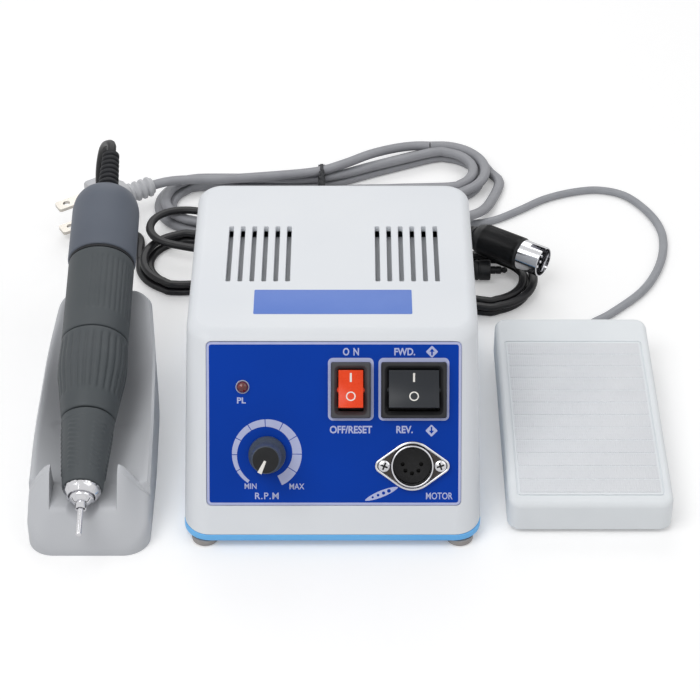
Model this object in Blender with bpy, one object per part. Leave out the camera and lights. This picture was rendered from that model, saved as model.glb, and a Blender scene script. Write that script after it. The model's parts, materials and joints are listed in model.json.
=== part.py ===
"""Dental lab micromotor: a control unit, a handpiece lying in its cradle and a foot pedal, with their cords.

Metres, +Z up. The origin lies on the table, under the middle of the whole set.
"""
import bmesh
import bpy
from math import acos, atan2, cos, hypot, pi, radians, sin, sqrt, tan
from mathutils import Matrix, Vector

# Clearances
gap = 0.0003                # between neighbouring pieces
overrun = 0.002             # how far a cut runs past its wall

# Control unit
console_width = 0.1123
console_depth = 0.143
console_height = 0.0702
console_draft = 0.00115     # each side leans in by this much at the top
face_lean = radians(33)     # the front leans back from upright
console_corner = 0.010
console_crown = 0.004       # rounding of the top edges
shell_wall = 0.0025
base_thickness = 0.003
base_edge = 0.0008
lip_height = 0.003
lip_wall = 0.002
foot_height = 0.003
foot_radius = 0.0045
foot_edge = 0.0005
foot_inset = 0.008          # foot centre to the side of the unit
foot_setback = 0.0054       # foot centre to its front or rear
spigot_radius = 0.002
spigot_length = 0.002
vent_width = 0.0018
vent_length = 0.037
vent_pitch = 0.0046
vents_per_group = 6
vent_group_offset = 0.0289  # middle of a group to the middle of the unit
vent_setback = 0.0928       # middle of the slots behind the front

# Front panel, placed in the frame of the leaning face
panel_width = 0.0952
panel_height = 0.0614
panel_right = 0.0006        # its middle, right of the middle of the unit
panel_middle = 0.0423       # up the face from its foot
panel_corner = 0.004
panel_flange = 0.0005
panel_proud = 0.0002
window_margin = 0.003
bezel_height = 0.021
bezel_thickness = 0.002
bezel_chamfer = 0.0006
bezel_overlap = 0.001       # how far a bezel covers the edge of its opening
switch_depth = 0.012
switch_up = 0.0128          # above the middle of the panel
power_width = 0.015
direction_width = 0.0246
direction_inset = 0.01765   # middle of the switch to the right end of the panel
switch_pitch = 0.0236       # middle of one switch to the middle of the other
switch_wall = 0.0026        # bezel beside the rocker
rocker_half_length = 0.0072
rocker_rise = 0.0039        # ends of the rocker above its pivot
rocker_dish = 0.0013
rocker_drop = 0.0045        # keel of the rocker below its pivot
rocker_tilt = radians(12)
rocker_heel_share = 0.89    # the rocker narrows to this below its ends
trunnion_radius = 0.0012
trunnion_length = 0.0012
lamp_inset = 0.0134         # middle of the lamp to the left end of the panel
lamp_up = 0.0139
lamp_radius = 0.0025
lamp_length = 0.009
knob_inset = 0.0226         # middle of the knob to the left end of the panel
knob_down = 0.0115
knob_base_radius = 0.0069
knob_cap_radius = 0.0052
knob_height = 0.015
knob_skirt = 0.004
knob_lift = 0.0008
shaft_radius = 0.003
bushing_wall = 0.0013
pot_radius = 0.008
pot_depth = 0.009
socket_inset = 0.0182       # middle of the socket to the right end of the panel
socket_down = 0.0158
socket_radius = 0.00785
socket_bore = 0.0071
socket_proud = 0.0025
socket_length = 0.0145
socket_recess = 0.007
flange_reach = 0.0142
flange_half_height = 0.00935
flange_end_radius = 0.0028
flange_thickness = 0.0012
pin_hole_radius = 0.0007
pin_circle = 0.0035
pin_hole_depth = 0.003

# Inside the control unit
core_width = 0.050
core_height = 0.042
core_depth = 0.024
core_leg = 0.008
coil_bulge = 0.008
core_left = 0.016           # left of the middle of the unit
core_setback = 0.095
board_width = 0.034
board_depth = 0.060
board_thickness = 0.0016
board_right = 0.030
board_setback = 0.085
post_height = 0.008
post_radius = 0.0028
capacitor_radius = 0.008
capacitor_height = 0.022
chip_size = 0.012

# Fittings of the rear wall, seen from the front
gland_right = 0.0321        # right of the middle of the unit
gland_height = 0.026
gland_neck = 0.0047
gland_length = 0.0218
gland_flange = 0.0075
gland_flange_thickness = 0.0027
gland_tip = 0.0034
gland_root = 0.0054
gland_ribs = 4
fuse_right = 0.038
fuse_height = 0.047
fuse_flange = 0.0075
fuse_flange_thickness = 0.002
fuse_barrel = 0.0056
fuse_bore = 0.004
fuse_depth = 0.022
fuse_cap_radius = 0.006
fuse_cap_height = 0.0055
jack_left = 0.023
jack_height = 0.026
jack_flange = 0.0055
jack_flange_thickness = 0.002
jack_barrel = 0.0039
jack_bore = 0.00185
jack_depth = 0.009

# Handpiece, stations measured along its axis from the front of the nose sleeve
handpiece_tilt = radians(15.5)
nose_height = 0.022
nose_ring_length = 0.0034
nose_ring_radius = 0.0070
nose_ring_face = 0.0054     # radius of its front face
nose_ring_bore = 0.0049
nose_spigot = 0.0062
nose_spigot_length = 0.005
sleeve_front_radius = 0.0078
sleeve_rear_radius = 0.01035
sleeve_end = 0.0315
chuck_middle = 0.053
chuck_middle_radius = 0.0136
chuck_end = 0.0682
chuck_end_radius = 0.0131
housing_end = 0.1086
housing_radius = 0.0132
rear_radius = 0.0137
rear_end = 0.1435
dome_length = 0.0095
dome_radius = 0.0087
boot_end = 0.167
boot_root = 0.0045
boot_tip = 0.0035
boot_ribs = 9
boot_plug_length = 0.006
spigot_outer = 0.0089       # sleeve inside the chuck ring
spigot_end = 0.071
bearing_front = 0.022
bearing_length = 0.006
bearing_outer = 0.0073
spindle_radius = 0.005
spindle_front = 0.006
spindle_step = 0.060
rotor_shaft_radius = 0.003
spindle_end = 0.119
collet_radius = 0.0034
collet_nose = 0.0046
collet_cone = 0.006         # the collet tapers down to its collar here, ahead of the sleeve
collet_collar = 0.0022      # radius of the collar
collet_front = 0.0087
collet_end = 0.0235
pin_radius = 0.001175
pin_reach = 0.020
pin_depth = 0.022
stator_outer = 0.0109
stator_inner = 0.0076
stator_front = 0.072
stator_end = 0.106
rotor_front = 0.074
rotor_end = 0.104
rear_bearing_front = 0.111
rear_bearing_outer = 0.008
housing_bore = 0.0112
housing_spigot = 0.0122
housing_spigot_end = 0.122
rear_wall = 0.0015

# Cradle
cradle_width = 0.0462
cradle_length = 0.117
cradle_height = 0.040
cradle_wall = 0.003
cradle_corner = 0.010
cradle_floor = 0.014
cradle_lip = 0.003          # height of the front edge
ridge_height = 0.026
ridge_front = 0.019
ridge_back = 0.023
ridge_fall = 0.006          # the ridge is this much lower at the sides
ridge_sweep = 0.004         # and this much nearer the front
notch_width = 0.025
notch_floor = 0.0157
notch_front = 0.009
nose_clearance = 0.0004
handpiece_offset = -0.0016  # the handpiece and its notch lie left of the cradle's middle
cradle_rim_shares = ((0.20, 0.50), (0.29, 0.60), (0.46, 0.70), (0.72, 0.83), (0.93, 1.0), (1.0, 0.97))
cradle_side_shares = ((0, 1), (0.38, 0.99), (0.72, 0.93), (1.0, 0.76))
saddle_shares = (0.50, 0.89)  # the floor climbs to the saddle between these

# Pedal
pedal_width = 0.0627
pedal_length = 0.112
pedal_front_height = 0.0143
pedal_rear_height = 0.018
pedal_corner = 0.005
pedal_crown = 0.0016
pedal_wall = 0.002
skirt_front = 0.0015
skirt_rear = 0.0043
pedal_base_thickness = 0.0025
pedal_base_inset = 0.0025
hinge_setback = 0.0095
hinge_height = 0.007
hinge_radius = 0.0015
ear_thickness = 0.004
ear_length = 0.008
ear_inset = 0.008
treadle_range = radians(1.9)
spring_to_switch = 0.020
spring_radius = 0.005
spring_wire = 0.0004
spring_turns = 5
spring_boss_height = 0.002
switch_inset = 0.027        # middle of the switch to the rear of the pedal
switch_length = 0.020
switch_width = 0.0064
switch_height = 0.0065
plunger_radius = 0.0012
plunger_length = 0.006
plunger_top = 0.0125
press_radius = 0.003
cord_gland_right = 0.0055
cord_gland_radius = 0.0024
cord_gland_height = 0.004
cord_gland_proud = 0.0023
cord_gland_length = 0.014

# Places of the three parts of the set on the table
cradle_to_console = 0.0128
console_to_pedal = 0.0105
nose_setback = 0.0125       # nose sleeve behind the front of the cradle
console_setback = 0.0047
pedal_setback = 0.0127

# Cords
mains_cord = 0.0048
motor_cord = 0.0038
pedal_cord = 0.0038
turn_gap = 0.0007           # between the turns of a hank
layer_gap = 0.0005          # between its layers
table_gap = 0.0001
point_spacing_share = 2.2   # distance between the points of a free stretch, in diameters

# Plugs
din_radius = 0.0071
din_length = 0.030
din_tail = 0.0033
din_shell_radius = 0.0066
din_shell_bore = 0.006
din_shell_length = 0.0103
din_spigot = 0.0055
din_spigot_length = 0.004
din_web = 0.002
mains_plug_height = 0.0224
mains_plug_thickness = 0.015
mains_plug_corner = 0.004
mains_plug_length = 0.030
relief_length = 0.012
relief_radius = 0.0035
relief_rib = 0.0011
relief_ribs = 4
blade_pitch = 0.0127
blade_width = 0.00635
blade_thickness = 0.0015
blade_length = 0.0165
blade_root = 0.005
pedal_plug_radius = 0.0045
pedal_plug_length = 0.0087
pedal_plug_tail = 0.0025
pedal_pin_radius = 0.00175
pedal_pin_length = 0.0075

# Worked out from the sizes above
total_width = cradle_width + cradle_to_console + console_width + console_to_pedal + pedal_width
cradle_x = (cradle_width - total_width) / 2
console_x = cradle_x + cradle_width / 2 + cradle_to_console + console_width / 2
pedal_x = (total_width - pedal_width) / 2
axis_run = (boot_end - pin_reach) * cos(handpiece_tilt) + (boot_tip - pin_radius) * sin(handpiece_tilt)
nose_y = -axis_run / 2
cradle_y = nose_y - nose_setback
console_y = cradle_y + console_setback
pedal_y = cradle_y + pedal_setback
shell_foot = foot_height + base_thickness
direction_right = panel_width / 2 - direction_inset
power_right = direction_right - switch_pitch
lamp_left = panel_width / 2 - lamp_inset
knob_left = panel_width / 2 - knob_inset
socket_right = panel_width / 2 - socket_inset
switch_setback = pedal_length - switch_inset
spring_setback = switch_setback - spring_to_switch


def clear_scene():
    for obj in list(bpy.data.objects):
        bpy.data.objects.remove(obj, do_unlink=True)


def material(name, colour, roughness, metallic=0.0):
    mat = bpy.data.materials.new(name)
    mat.use_nodes = True
    shader = mat.node_tree.nodes["Principled BSDF"]
    shader.inputs["Base Color"].default_value = (*colour, 1)
    shader.inputs["Roughness"].default_value = roughness
    shader.inputs["Metallic"].default_value = metallic
    return mat


def frame(name, location, rotation=(0, 0, 0)):
    empty = bpy.data.objects.new(name, None)
    empty.location = location
    empty.rotation_euler = rotation
    bpy.context.collection.objects.link(empty)
    return empty


def frame_along(name, location, direction):
    """An empty whose Z runs along a direction."""
    return frame(name, location, Vector(direction).to_track_quat("Z", "Y").to_euler())


def add(name, bm, mat, parent=None, location=(0, 0, 0), rotation=(0, 0, 0)):
    bmesh.ops.remove_doubles(bm, verts=bm.verts, dist=1e-7)
    bmesh.ops.recalc_face_normals(bm, faces=bm.faces)
    mesh = bpy.data.meshes.new(name)
    bm.to_mesh(mesh)
    bm.free()
    mesh.materials.append(mat)
    mesh.shade_smooth()
    mesh.set_sharp_from_angle(angle=radians(35))
    obj = bpy.data.objects.new(name, mesh)
    bpy.context.collection.objects.link(obj)
    obj.parent = parent
    obj.location = location
    obj.rotation_euler = rotation
    return obj


def combine(target, tool, operation="DIFFERENCE"):
    """Cut a tool from a target, or join it on, and keep the tool as a guide."""
    modifier = target.modifiers.new(tool.name, "BOOLEAN")
    modifier.operation = operation
    modifier.solver = "EXACT"
    modifier.object = tool
    tool.hide_render = True
    tool.display_type = "WIRE"


def box(low, high):
    bm = bmesh.new()
    bmesh.ops.create_cube(bm, size=1)
    low = Vector(low)
    high = Vector(high)
    bmesh.ops.scale(bm, vec=high - low, verts=bm.verts)
    bmesh.ops.translate(bm, vec=(high + low) / 2, verts=bm.verts)
    return bm


def turned(profile, steps=20):
    """Spin a closed profile of (radius, height) points about Z; points on the axis become poles."""
    bm = bmesh.new()
    verts = [bm.verts.new((r, 0, z)) for r, z in profile]
    pairs = list(zip(verts, verts[1:] + verts[:1]))
    edges = [bm.edges.new(p) for p in pairs if p[0].co.x > 0 or p[1].co.x > 0]
    bmesh.ops.spin(bm, geom=verts + edges, cent=(0, 0, 0), axis=(0, 0, 1), angle=2 * pi, steps=steps,
                   use_merge=True)
    return bm


def rod(radius, low, high, steps=20):
    return turned([(0, low), (radius, low), (radius, high), (0, high)], steps)


def rounded(width, depth, radius, steps=4):
    """Outline of a rounded rectangle about the origin, anticlockwise."""
    points = []
    for k, (sx, sy) in enumerate(((1, 1), (-1, 1), (-1, -1), (1, -1))):
        for i in range(steps + 1):
            turn = (k + i / steps) * pi / 2
            x = sx * (width / 2 - radius) + radius * cos(turn)
            y = sy * (depth / 2 - radius) + radius * sin(turn)
            points.append((x, y))
    return points


def lozenge(reach, half_height, end_radius, steps=6):
    """A round flange drawn out to two small round ends."""
    offset = reach - end_radius
    touch = acos((half_height - end_radius) / offset)
    arcs = ((offset, end_radius, -touch, touch), (0, half_height, touch, pi - touch),
            (-offset, end_radius, pi - touch, pi + touch), (0, half_height, pi + touch, 2 * pi - touch))
    points = []
    for middle, radius, start, end in arcs:
        for i in range(steps + 1):
            turn = start + (end - start) * i / steps
            points.append((middle + radius * cos(turn), radius * sin(turn)))
    return points


def loft(rows):
    """Skin between rows of points, with a cap on both ends."""
    bm = bmesh.new()
    rings = [[bm.verts.new(point) for point in row] for row in rows]
    for lower, upper in zip(rings, rings[1:]):
        for i in range(len(lower)):
            j = (i + 1) % len(lower)
            bm.faces.new((lower[i], lower[j], upper[j], upper[i]))
    bm.faces.new(reversed(rings[0]))
    bm.faces.new(rings[-1])
    return bm


def stack(*layers):
    """Loft between flat outlines, each given with its height."""
    return loft([[(x, y, z) for x, y in outline] for outline, z in layers])


def cross_bar(radius, half_length, steps=12):
    """A round bar along X through the origin."""
    bm = rod(radius, -half_length, half_length, steps)
    bmesh.ops.rotate(bm, cent=(0, 0, 0), matrix=Matrix.Rotation(pi / 2, 3, "Y"), verts=bm.verts)
    return bm


def ease(share):
    share = min(1, max(0, share))
    return share * share * (3 - 2 * share)


def along(table, share):
    """Read a table of (place, value) shares, straight between its rows."""
    if share <= table[0][0]:
        return table[0][1]
    for (a, low), (b, high) in zip(table, table[1:]):
        if share <= b:
            return low + (high - low) * (share - a) / (b - a)
    return table[-1][1]


clear_scene()

white_plastic = material("white plastic", (0.78, 0.80, 0.83), 0.42)
blue_plastic = material("pale blue plastic", (0.13, 0.42, 0.90), 0.4)
blue_panel = material("blue panel", (0.0, 0.042, 0.34), 0.35)
black_plastic = material("black plastic", (0.02, 0.02, 0.022), 0.4)
red_rocker = material("orange red rocker", (0.87, 0.07, 0.012), 0.3)
red_lens = material("red lens", (0.4, 0.01, 0.01), 0.15)
black_rubber = material("black rubber", (0.03, 0.03, 0.032), 0.7)
grey_rubber = material("grey rubber", (0.30, 0.31, 0.32), 0.7)
chrome = material("chrome", (0.80, 0.80, 0.82), 0.12, 1.0)
steel = material("steel", (0.60, 0.60, 0.62), 0.3, 1.0)
copper = material("copper winding", (0.55, 0.22, 0.07), 0.4, 1.0)
core_iron = material("core iron", (0.20, 0.20, 0.22), 0.6, 0.8)
board_green = material("board green", (0.02, 0.18, 0.06), 0.5)
grip_grey = material("handpiece grey", (0.085, 0.095, 0.105), 0.55)
cradle_grey = material("cradle grey", (0.53, 0.54, 0.56), 0.5)
pedal_grey = material("pedal grey", (0.66, 0.68, 0.70), 0.5)
cord_black = material("black cord", (0.02, 0.02, 0.02), 0.45)
cord_grey = material("grey cord", (0.33, 0.33, 0.35), 0.5)


# Control unit: shell, base and feet

def console_row(height, inset, ground=False):
    """Rounded outline of the unit at a height, drawn in by inset; the front follows the leaning face."""
    share = 0 if ground else (height - shell_foot) / (console_height - shell_foot)
    front = 0 if ground else (height - shell_foot) * tan(face_lean)
    front += inset if ground else inset / cos(face_lean)
    rear = console_depth - inset
    width = console_width - 2 * (console_draft * share + inset)
    radius = max(console_corner - inset, console_corner / 4)
    middle = console_y + (front + rear) / 2
    return [(console_x + x, middle + y, height) for x, y in rounded(width, rear - front, radius)]


def make_shell():
    rows = [console_row(shell_foot + gap, 0)]
    for k in range(4):
        turn = k / 3 * pi / 2
        rows.append(console_row(console_height - console_crown * (1 - sin(turn)),
                                console_crown * (1 - cos(turn))))
    inner_crown = console_crown - shell_wall
    ceiling = console_height - shell_wall
    inner = [console_row(shell_foot + gap - overrun, shell_wall),
             console_row(ceiling - inner_crown, shell_wall),
             console_row(ceiling, shell_wall + inner_crown)]
    shell = add("console_shell", loft(rows), white_plastic)
    combine(shell, add("shell_hollow", loft(inner), white_plastic))
    first = console_x - vent_group_offset - (vents_per_group - 1) / 2 * vent_pitch
    for side in (0, 1):
        for k in range(vents_per_group):
            middle = first + 2 * side * vent_group_offset + k * vent_pitch
            slot = rounded(vent_width, vent_length, vent_width / 3, 1)
            cutter = stack((slot, ceiling - overrun), (slot, console_height + overrun))
            combine(shell, add(f"vent_cutter_{side}_{k}", cutter, white_plastic, None,
                               (middle, console_y + vent_setback, 0)))
    return shell


def make_base():
    def row(height, inset):
        return console_row(height, inset, ground=True)
    lip_outer = shell_wall + gap
    rows = [row(foot_height, base_edge), row(foot_height + base_edge, 0), row(shell_foot, 0),
            row(shell_foot, lip_outer), row(shell_foot + lip_height, lip_outer),
            row(shell_foot + lip_height, lip_outer + lip_wall), row(shell_foot, lip_outer + lip_wall)]
    # The lip leans back with the front of the shell
    for index, extra in ((4, lip_height), (5, lip_height)):
        shift = extra * tan(face_lean) + lip_outer * (1 / cos(face_lean) - 1)
        middle = console_y + console_depth / 2
        rows[index] = [(x, y + shift if y < middle else y, z) for x, y, z in rows[index]]
    shift = lip_outer * (1 / cos(face_lean) - 1)
    for index in (3, 6):
        rows[index] = [(x, y + shift if y < middle else y, z) for x, y, z in rows[index]]
    base = add("console_base", loft(rows), blue_plastic)
    foot_profile = [(0, 0), (foot_radius - foot_edge, 0), (foot_radius, foot_edge),
                    (foot_radius, foot_height - gap),
                    (spigot_radius, foot_height - gap), (spigot_radius, foot_height + spigot_length - gap),
                    (0, foot_height + spigot_length - gap)]
    places = [(side * (console_width / 2 - foot_inset), y) for side in (-1, 1)
              for y in (foot_setback, console_depth - foot_setback)]
    for k, (x, y) in enumerate(places, 1):
        place = (console_x + x, console_y + y, 0)
        add(f"foot_{k}", turned(foot_profile, 12), grey_rubber, None, place)
        hole = rod(spigot_radius + gap, foot_height - overrun, foot_height + spigot_length, 12)
        combine(base, add(f"foot_hole_{k}", hole, grey_rubber, None, place))
    return base


# Front panel and what it carries

face = frame("face", (console_x, console_y, shell_foot), (pi / 2 - face_lean, 0, 0))


def on_panel(right, up, out=0.0):
    return (panel_right + right, panel_middle + up, out)


def bezel_opening(width):
    """Size of the hole that a switch of this bezel width sits in."""
    return width - 2 * bezel_overlap, bezel_height - 2 * bezel_overlap


def make_panel(shell):
    pocket = panel_flange - panel_proud + gap
    flange = rounded(panel_width, panel_height, panel_corner)
    window_width = panel_width - 2 * window_margin
    window_height = panel_height - 2 * window_margin
    core = rounded(window_width - 2 * gap, window_height - 2 * gap, panel_corner - gap)
    panel = add("front_panel", stack((core, -shell_wall), (core, gap - pocket), (flange, gap - pocket),
                                     (flange, panel_proud)), blue_panel, face, on_panel(0, 0))
    recess = rounded(panel_width + 2 * gap, panel_height + 2 * gap, panel_corner + gap)
    combine(shell, add("panel_recess", stack((recess, -pocket), (recess, overrun)), blue_panel, face,
                       on_panel(0, 0)))
    window = rounded(window_width, window_height, panel_corner)
    combine(shell, add("panel_window", stack((window, -shell_wall - overrun), (window, overrun)), blue_panel,
                       face,
                       on_panel(0, 0)))
    return panel


def make_switch(name, panel, right, width, rocker_material):
    """A rocker switch; its rocker rests with the upper end pressed in."""
    hole_width, hole_height = bezel_opening(width)
    bezel = rounded(width, bezel_height, 2 * bezel_chamfer, 2)
    body = rounded(hole_width - 2 * gap, hole_height - 2 * gap, bezel_chamfer, 2)
    crown = rounded(width - 2 * bezel_chamfer, bezel_height - 2 * bezel_chamfer, bezel_chamfer, 2)
    seat = panel_proud + gap
    top = seat + bezel_thickness
    place = on_panel(right, switch_up)
    housing = add(f"{name}_switch_housing", stack((body, -switch_depth), (body, seat), (bezel, seat),
                  (bezel, top - bezel_chamfer), (crown, top)), black_plastic, face, place)
    rocker_width = width - 2 * (switch_wall + gap)
    swing = hypot(rocker_half_length, rocker_rise) + gap
    well = box((-rocker_width / 2 - gap, -swing, -rocker_drop - 4 * gap),
               (rocker_width / 2 + gap, swing, top + overrun))
    combine(housing, add(f"{name}_well", well, black_plastic, face, place))
    bore_reach = rocker_width / 2 + trunnion_length + gap
    combine(housing, add(f"{name}_trunnion_bore", cross_bar(trunnion_radius + gap, bore_reach),
                         black_plastic, face,
                         place))
    hole = rounded(hole_width, hole_height, bezel_chamfer, 2)
    combine(panel, add(f"{name}_switch_hole", stack((hole, -shell_wall - overrun), (hole, overrun)),
                       blue_panel, face,
                       place))
    dished = rocker_rise - rocker_dish
    heel = rocker_heel_share * rocker_half_length
    outline = [(rocker_half_length, rocker_rise), (rocker_half_length / 2, dished + rocker_dish / 4),
               (0, dished),
               (-rocker_half_length / 2, dished + rocker_dish / 4), (-rocker_half_length, rocker_rise),
               (-heel, -rocker_drop / 2), (-rocker_half_length / 2, -rocker_drop),
               (rocker_half_length / 2, -rocker_drop), (heel, -rocker_drop / 2)]
    sides = [[(x, y, z) for y, z in outline] for x in (-rocker_width / 2, rocker_width / 2)]
    rocker = add(f"{name}_rocker", loft(sides), rocker_material, face, place, (-rocker_tilt, 0, 0))
    trunnions = cross_bar(trunnion_radius, rocker_width / 2 + trunnion_length)
    combine(rocker, add(f"{name}_trunnions", trunnions, rocker_material, face, place), "UNION")


def make_lamp(panel):
    place = on_panel(-lamp_left, lamp_up)
    rim = lamp_radius + 2 * gap
    dome = [(lamp_radius * cos(k / 4 * pi / 2), lamp_radius * sin(k / 4 * pi / 2)) for k in range(5)]
    profile = [(0, -lamp_length), (rim, -lamp_length), (rim, -shell_wall - gap),
               (lamp_radius, -shell_wall - gap)]
    profile += [(r, z + lamp_radius / 4) for r, z in dome]
    add("lamp_lens", turned(profile, 16), red_lens, face, place)
    hole = rod(lamp_radius + gap, -shell_wall - overrun, overrun, 16)
    combine(panel, add("lamp_hole", hole, red_lens, face, place))


def make_speed_control(panel):
    place = on_panel(-knob_left, -knob_down)
    bushing = shaft_radius + gap + bushing_wall
    bore = shaft_radius + gap
    top = panel_proud + knob_lift / 2
    back = -shell_wall - gap - pot_depth
    add("speed_pot", turned([(0, back), (pot_radius, back), (pot_radius, -shell_wall - gap),
                             (bushing, -shell_wall - gap), (bushing, top), (bore, top),
                             (bore, back + bushing_wall),
                             (0, back + bushing_wall)]), black_plastic, face, place)
    hole = rod(bushing + gap, -shell_wall - overrun, overrun)
    combine(panel, add("shaft_hole", hole, blue_panel, face, place))
    foot = panel_proud + knob_lift
    shaft_top = foot + knob_height - 2 * bushing_wall
    add("pot_shaft", rod(shaft_radius, back + bushing_wall + gap, shaft_top, 16), steel, face, place)
    cap_edge = knob_cap_radius - bushing_wall / 2
    knob = [(bore, foot), (knob_base_radius, foot), (knob_base_radius, foot + knob_skirt / 2),
            (knob_cap_radius, foot + knob_skirt), (knob_cap_radius, foot + knob_height - bushing_wall / 2),
            (cap_edge, foot + knob_height), (0, foot + knob_height), (0, shaft_top + gap),
            (bore, shaft_top + gap)]
    add("speed_knob", turned(knob, 30), black_plastic, face, place)


def make_motor_socket(panel):
    place = on_panel(socket_right, -socket_down)
    top = panel_proud + gap + socket_proud
    seat = panel_proud + gap
    barrel = [(socket_bore, top - socket_length), (socket_radius, top - socket_length), (socket_radius, top),
              (socket_bore, top)]
    socket = add("motor_socket", turned(barrel, 28), chrome, face, place)
    outline = lozenge(flange_reach, flange_half_height, flange_end_radius)
    flange = add("socket_flange", stack((outline, seat), (outline, seat + flange_thickness)), chrome, face,
                 place)
    bore = rod((socket_radius + socket_bore) / 2, seat - overrun, seat + overrun, 28)
    combine(flange, add("flange_bore", bore, chrome, face, place))
    combine(socket, flange, "UNION")
    hole = rod(socket_radius + gap, -shell_wall - overrun, overrun, 28)
    combine(panel, add("socket_hole", hole, chrome, face, place))
    insert_top = top - socket_recess
    insert = add("socket_insert", rod(socket_bore - gap, top - socket_length, insert_top), black_plastic,
                 face, place)
    for k in range(5):
        turn = (k - 2) / 4 * pi - pi / 2
        hole = rod(pin_hole_radius, insert_top - pin_hole_depth, insert_top + overrun, 6)
        spot = (place[0] + pin_circle * cos(turn), place[1] + pin_circle * sin(turn), place[2])
        combine(insert, add(f"pin_hole_{k}", hole, black_plastic, face, spot))


# Inside and rear of the control unit

def make_transformer():
    place = (console_x - core_left, console_y + core_setback, shell_foot + gap)
    half = core_width / 2
    deep = core_depth / 2
    core = add("transformer_core", box((-half, -deep, 0), (half, deep, core_height)), core_iron, None, place)
    for side in (-1, 1):
        inner = side * core_leg
        outer = side * (half - core_leg)
        window = box((min(inner, outer), -deep - overrun, core_leg), (max(inner, outer), deep + overrun,
                                                                      core_height - core_leg))
        combine(core, add(f"core_window_{side + 1}", window, core_iron, None, place))
    low = core_leg + gap
    high = core_height - core_leg - gap
    outer_x = half - core_leg - gap
    outer_y = deep + coil_bulge
    coil = stack((rounded(2 * outer_x, 2 * outer_y, coil_bulge / 2), low),
                 (rounded(2 * outer_x, 2 * outer_y, coil_bulge / 2), high))
    coil = add("transformer_coil", coil, copper, None, place)
    leg = box((-core_leg - gap, -deep - gap, low - overrun), (core_leg + gap, deep + gap, high + overrun))
    combine(coil, add("coil_bore", leg, copper, None, place))


def make_board(base):
    place = (console_x + board_right, console_y + board_setback, shell_foot)
    level = post_height + gap
    board = box((-board_width / 2, -board_depth / 2, level), (board_width / 2, board_depth / 2,
                                                              level + board_thickness))
    board = add("circuit_board", board, board_green, None, place)
    top = level + board_thickness
    for k, y in enumerate((-board_depth / 4, board_depth / 4)):
        can = rod(capacitor_radius, top - board_thickness / 2, top + capacitor_height, 16)
        combine(board, add(f"capacitor_{k}", can, board_green, None, (place[0], place[1] + y, place[2])),
                "UNION")
    chip = box((-chip_size / 2, -chip_size / 4, top - board_thickness / 2), (chip_size / 2, chip_size / 4,
                                                                            top + chip_size / 4))
    combine(board, add("chip", chip, board_green, None, place), "UNION")
    for k, (sx, sy) in enumerate(((-1, -1), (-1, 1), (1, -1), (1, 1))):
        spot = (place[0] + sx * (board_width / 2 - post_radius),
                place[1] + sy * (board_depth / 2 - post_radius),
                shell_foot)
        post = rod(post_radius, -base_thickness / 2, post_height, 10)
        combine(base, add(f"board_post_{k}", post, blue_plastic, None, spot), "UNION")


def rear_frame(name, right, height):
    """Empty on the outside of the rear wall, with Z pointing away from the unit."""
    return frame(name, (console_x + right, console_y + console_depth, height), (-pi / 2, 0, 0))


def ribbed(start, end, root, tip, ribs, groove_share=0.72):
    """Profile of a tapering tail with grooves cut round it."""
    points = []
    for k in range(ribs):
        for share, depth in ((0.3, 1), (0.8, groove_share)):
            place = (k + share) / ribs
            points.append(((root + (tip - root) * place) * depth, start + (end - start) * place))
    return points


def make_rear_fittings(shell):
    rear = rear_frame("gland_place", gland_right, gland_height)
    inside = -shell_wall - gap
    tail = ribbed(gland_flange_thickness + gap, gland_length, gland_root, gland_tip, gland_ribs)
    profile = [(0, inside - gland_flange_thickness), (gland_flange, inside - gland_flange_thickness),
               (gland_flange, inside), (gland_neck, inside), (gland_neck, gap), (gland_flange, gap),
               (gland_flange, gap + gland_flange_thickness)]
    profile += tail + [(gland_tip, gland_length), (0, gland_length)]
    add("mains_gland", turned(profile, 12), grey_rubber, rear)
    combine(shell, add("gland_hole", rod(gland_neck + gap, -shell_wall - overrun, overrun, 12), grey_rubber,
                       rear))

    rear = rear_frame("fuse_place", fuse_right, fuse_height)
    face_level = gap + fuse_flange_thickness
    floor = fuse_bore - fuse_depth
    profile = [(0, -fuse_depth), (fuse_barrel, -fuse_depth), (fuse_barrel, gap), (fuse_flange, gap),
               (fuse_flange, face_level), (fuse_bore, face_level), (fuse_bore, floor), (0, floor)]
    add("fuse_holder", turned(profile, 20), black_plastic, rear)
    combine(shell, add("fuse_hole", rod(fuse_barrel + gap, -shell_wall - overrun, overrun, 20),
                       black_plastic, rear))
    stem = fuse_bore - gap
    head = face_level + gap
    profile = [(0, floor + gap), (stem, floor + gap), (stem, head), (fuse_cap_radius, head),
               (fuse_cap_radius, head + fuse_cap_height), (0, head + fuse_cap_height)]
    cap = add("fuse_cap", turned(profile, 20), black_plastic, rear)
    slot = box((-fuse_cap_radius * 0.7, -fuse_cap_height / 8, head + fuse_cap_height * 0.7),
               (fuse_cap_radius * 0.7, fuse_cap_height / 8, head + fuse_cap_height + overrun))
    combine(cap, add("cap_slot", slot, black_plastic, rear))

    rear = rear_frame("jack_place", -jack_left, jack_height)
    face_level = gap + jack_flange_thickness
    floor = jack_bore - jack_depth
    profile = [(0, -jack_depth), (jack_barrel, -jack_depth), (jack_barrel, gap), (jack_flange, gap),
               (jack_flange, face_level), (jack_bore, face_level), (jack_bore, floor), (0, floor)]
    add("pedal_jack", turned(profile, 16), black_plastic, rear)
    combine(shell, add("jack_hole", rod(jack_barrel + gap, -shell_wall - overrun, overrun, 16),
                       black_plastic, rear))


# Handpiece

handpiece = frame("handpiece", (cradle_x + handpiece_offset, nose_y, nose_height),
                  (handpiece_tilt - pi / 2, 0, 0))


def sleeve_radius(station):
    """Outside of the nose sleeve."""
    return sleeve_front_radius + (sleeve_rear_radius - sleeve_front_radius) * max(0, station) / sleeve_end


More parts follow.
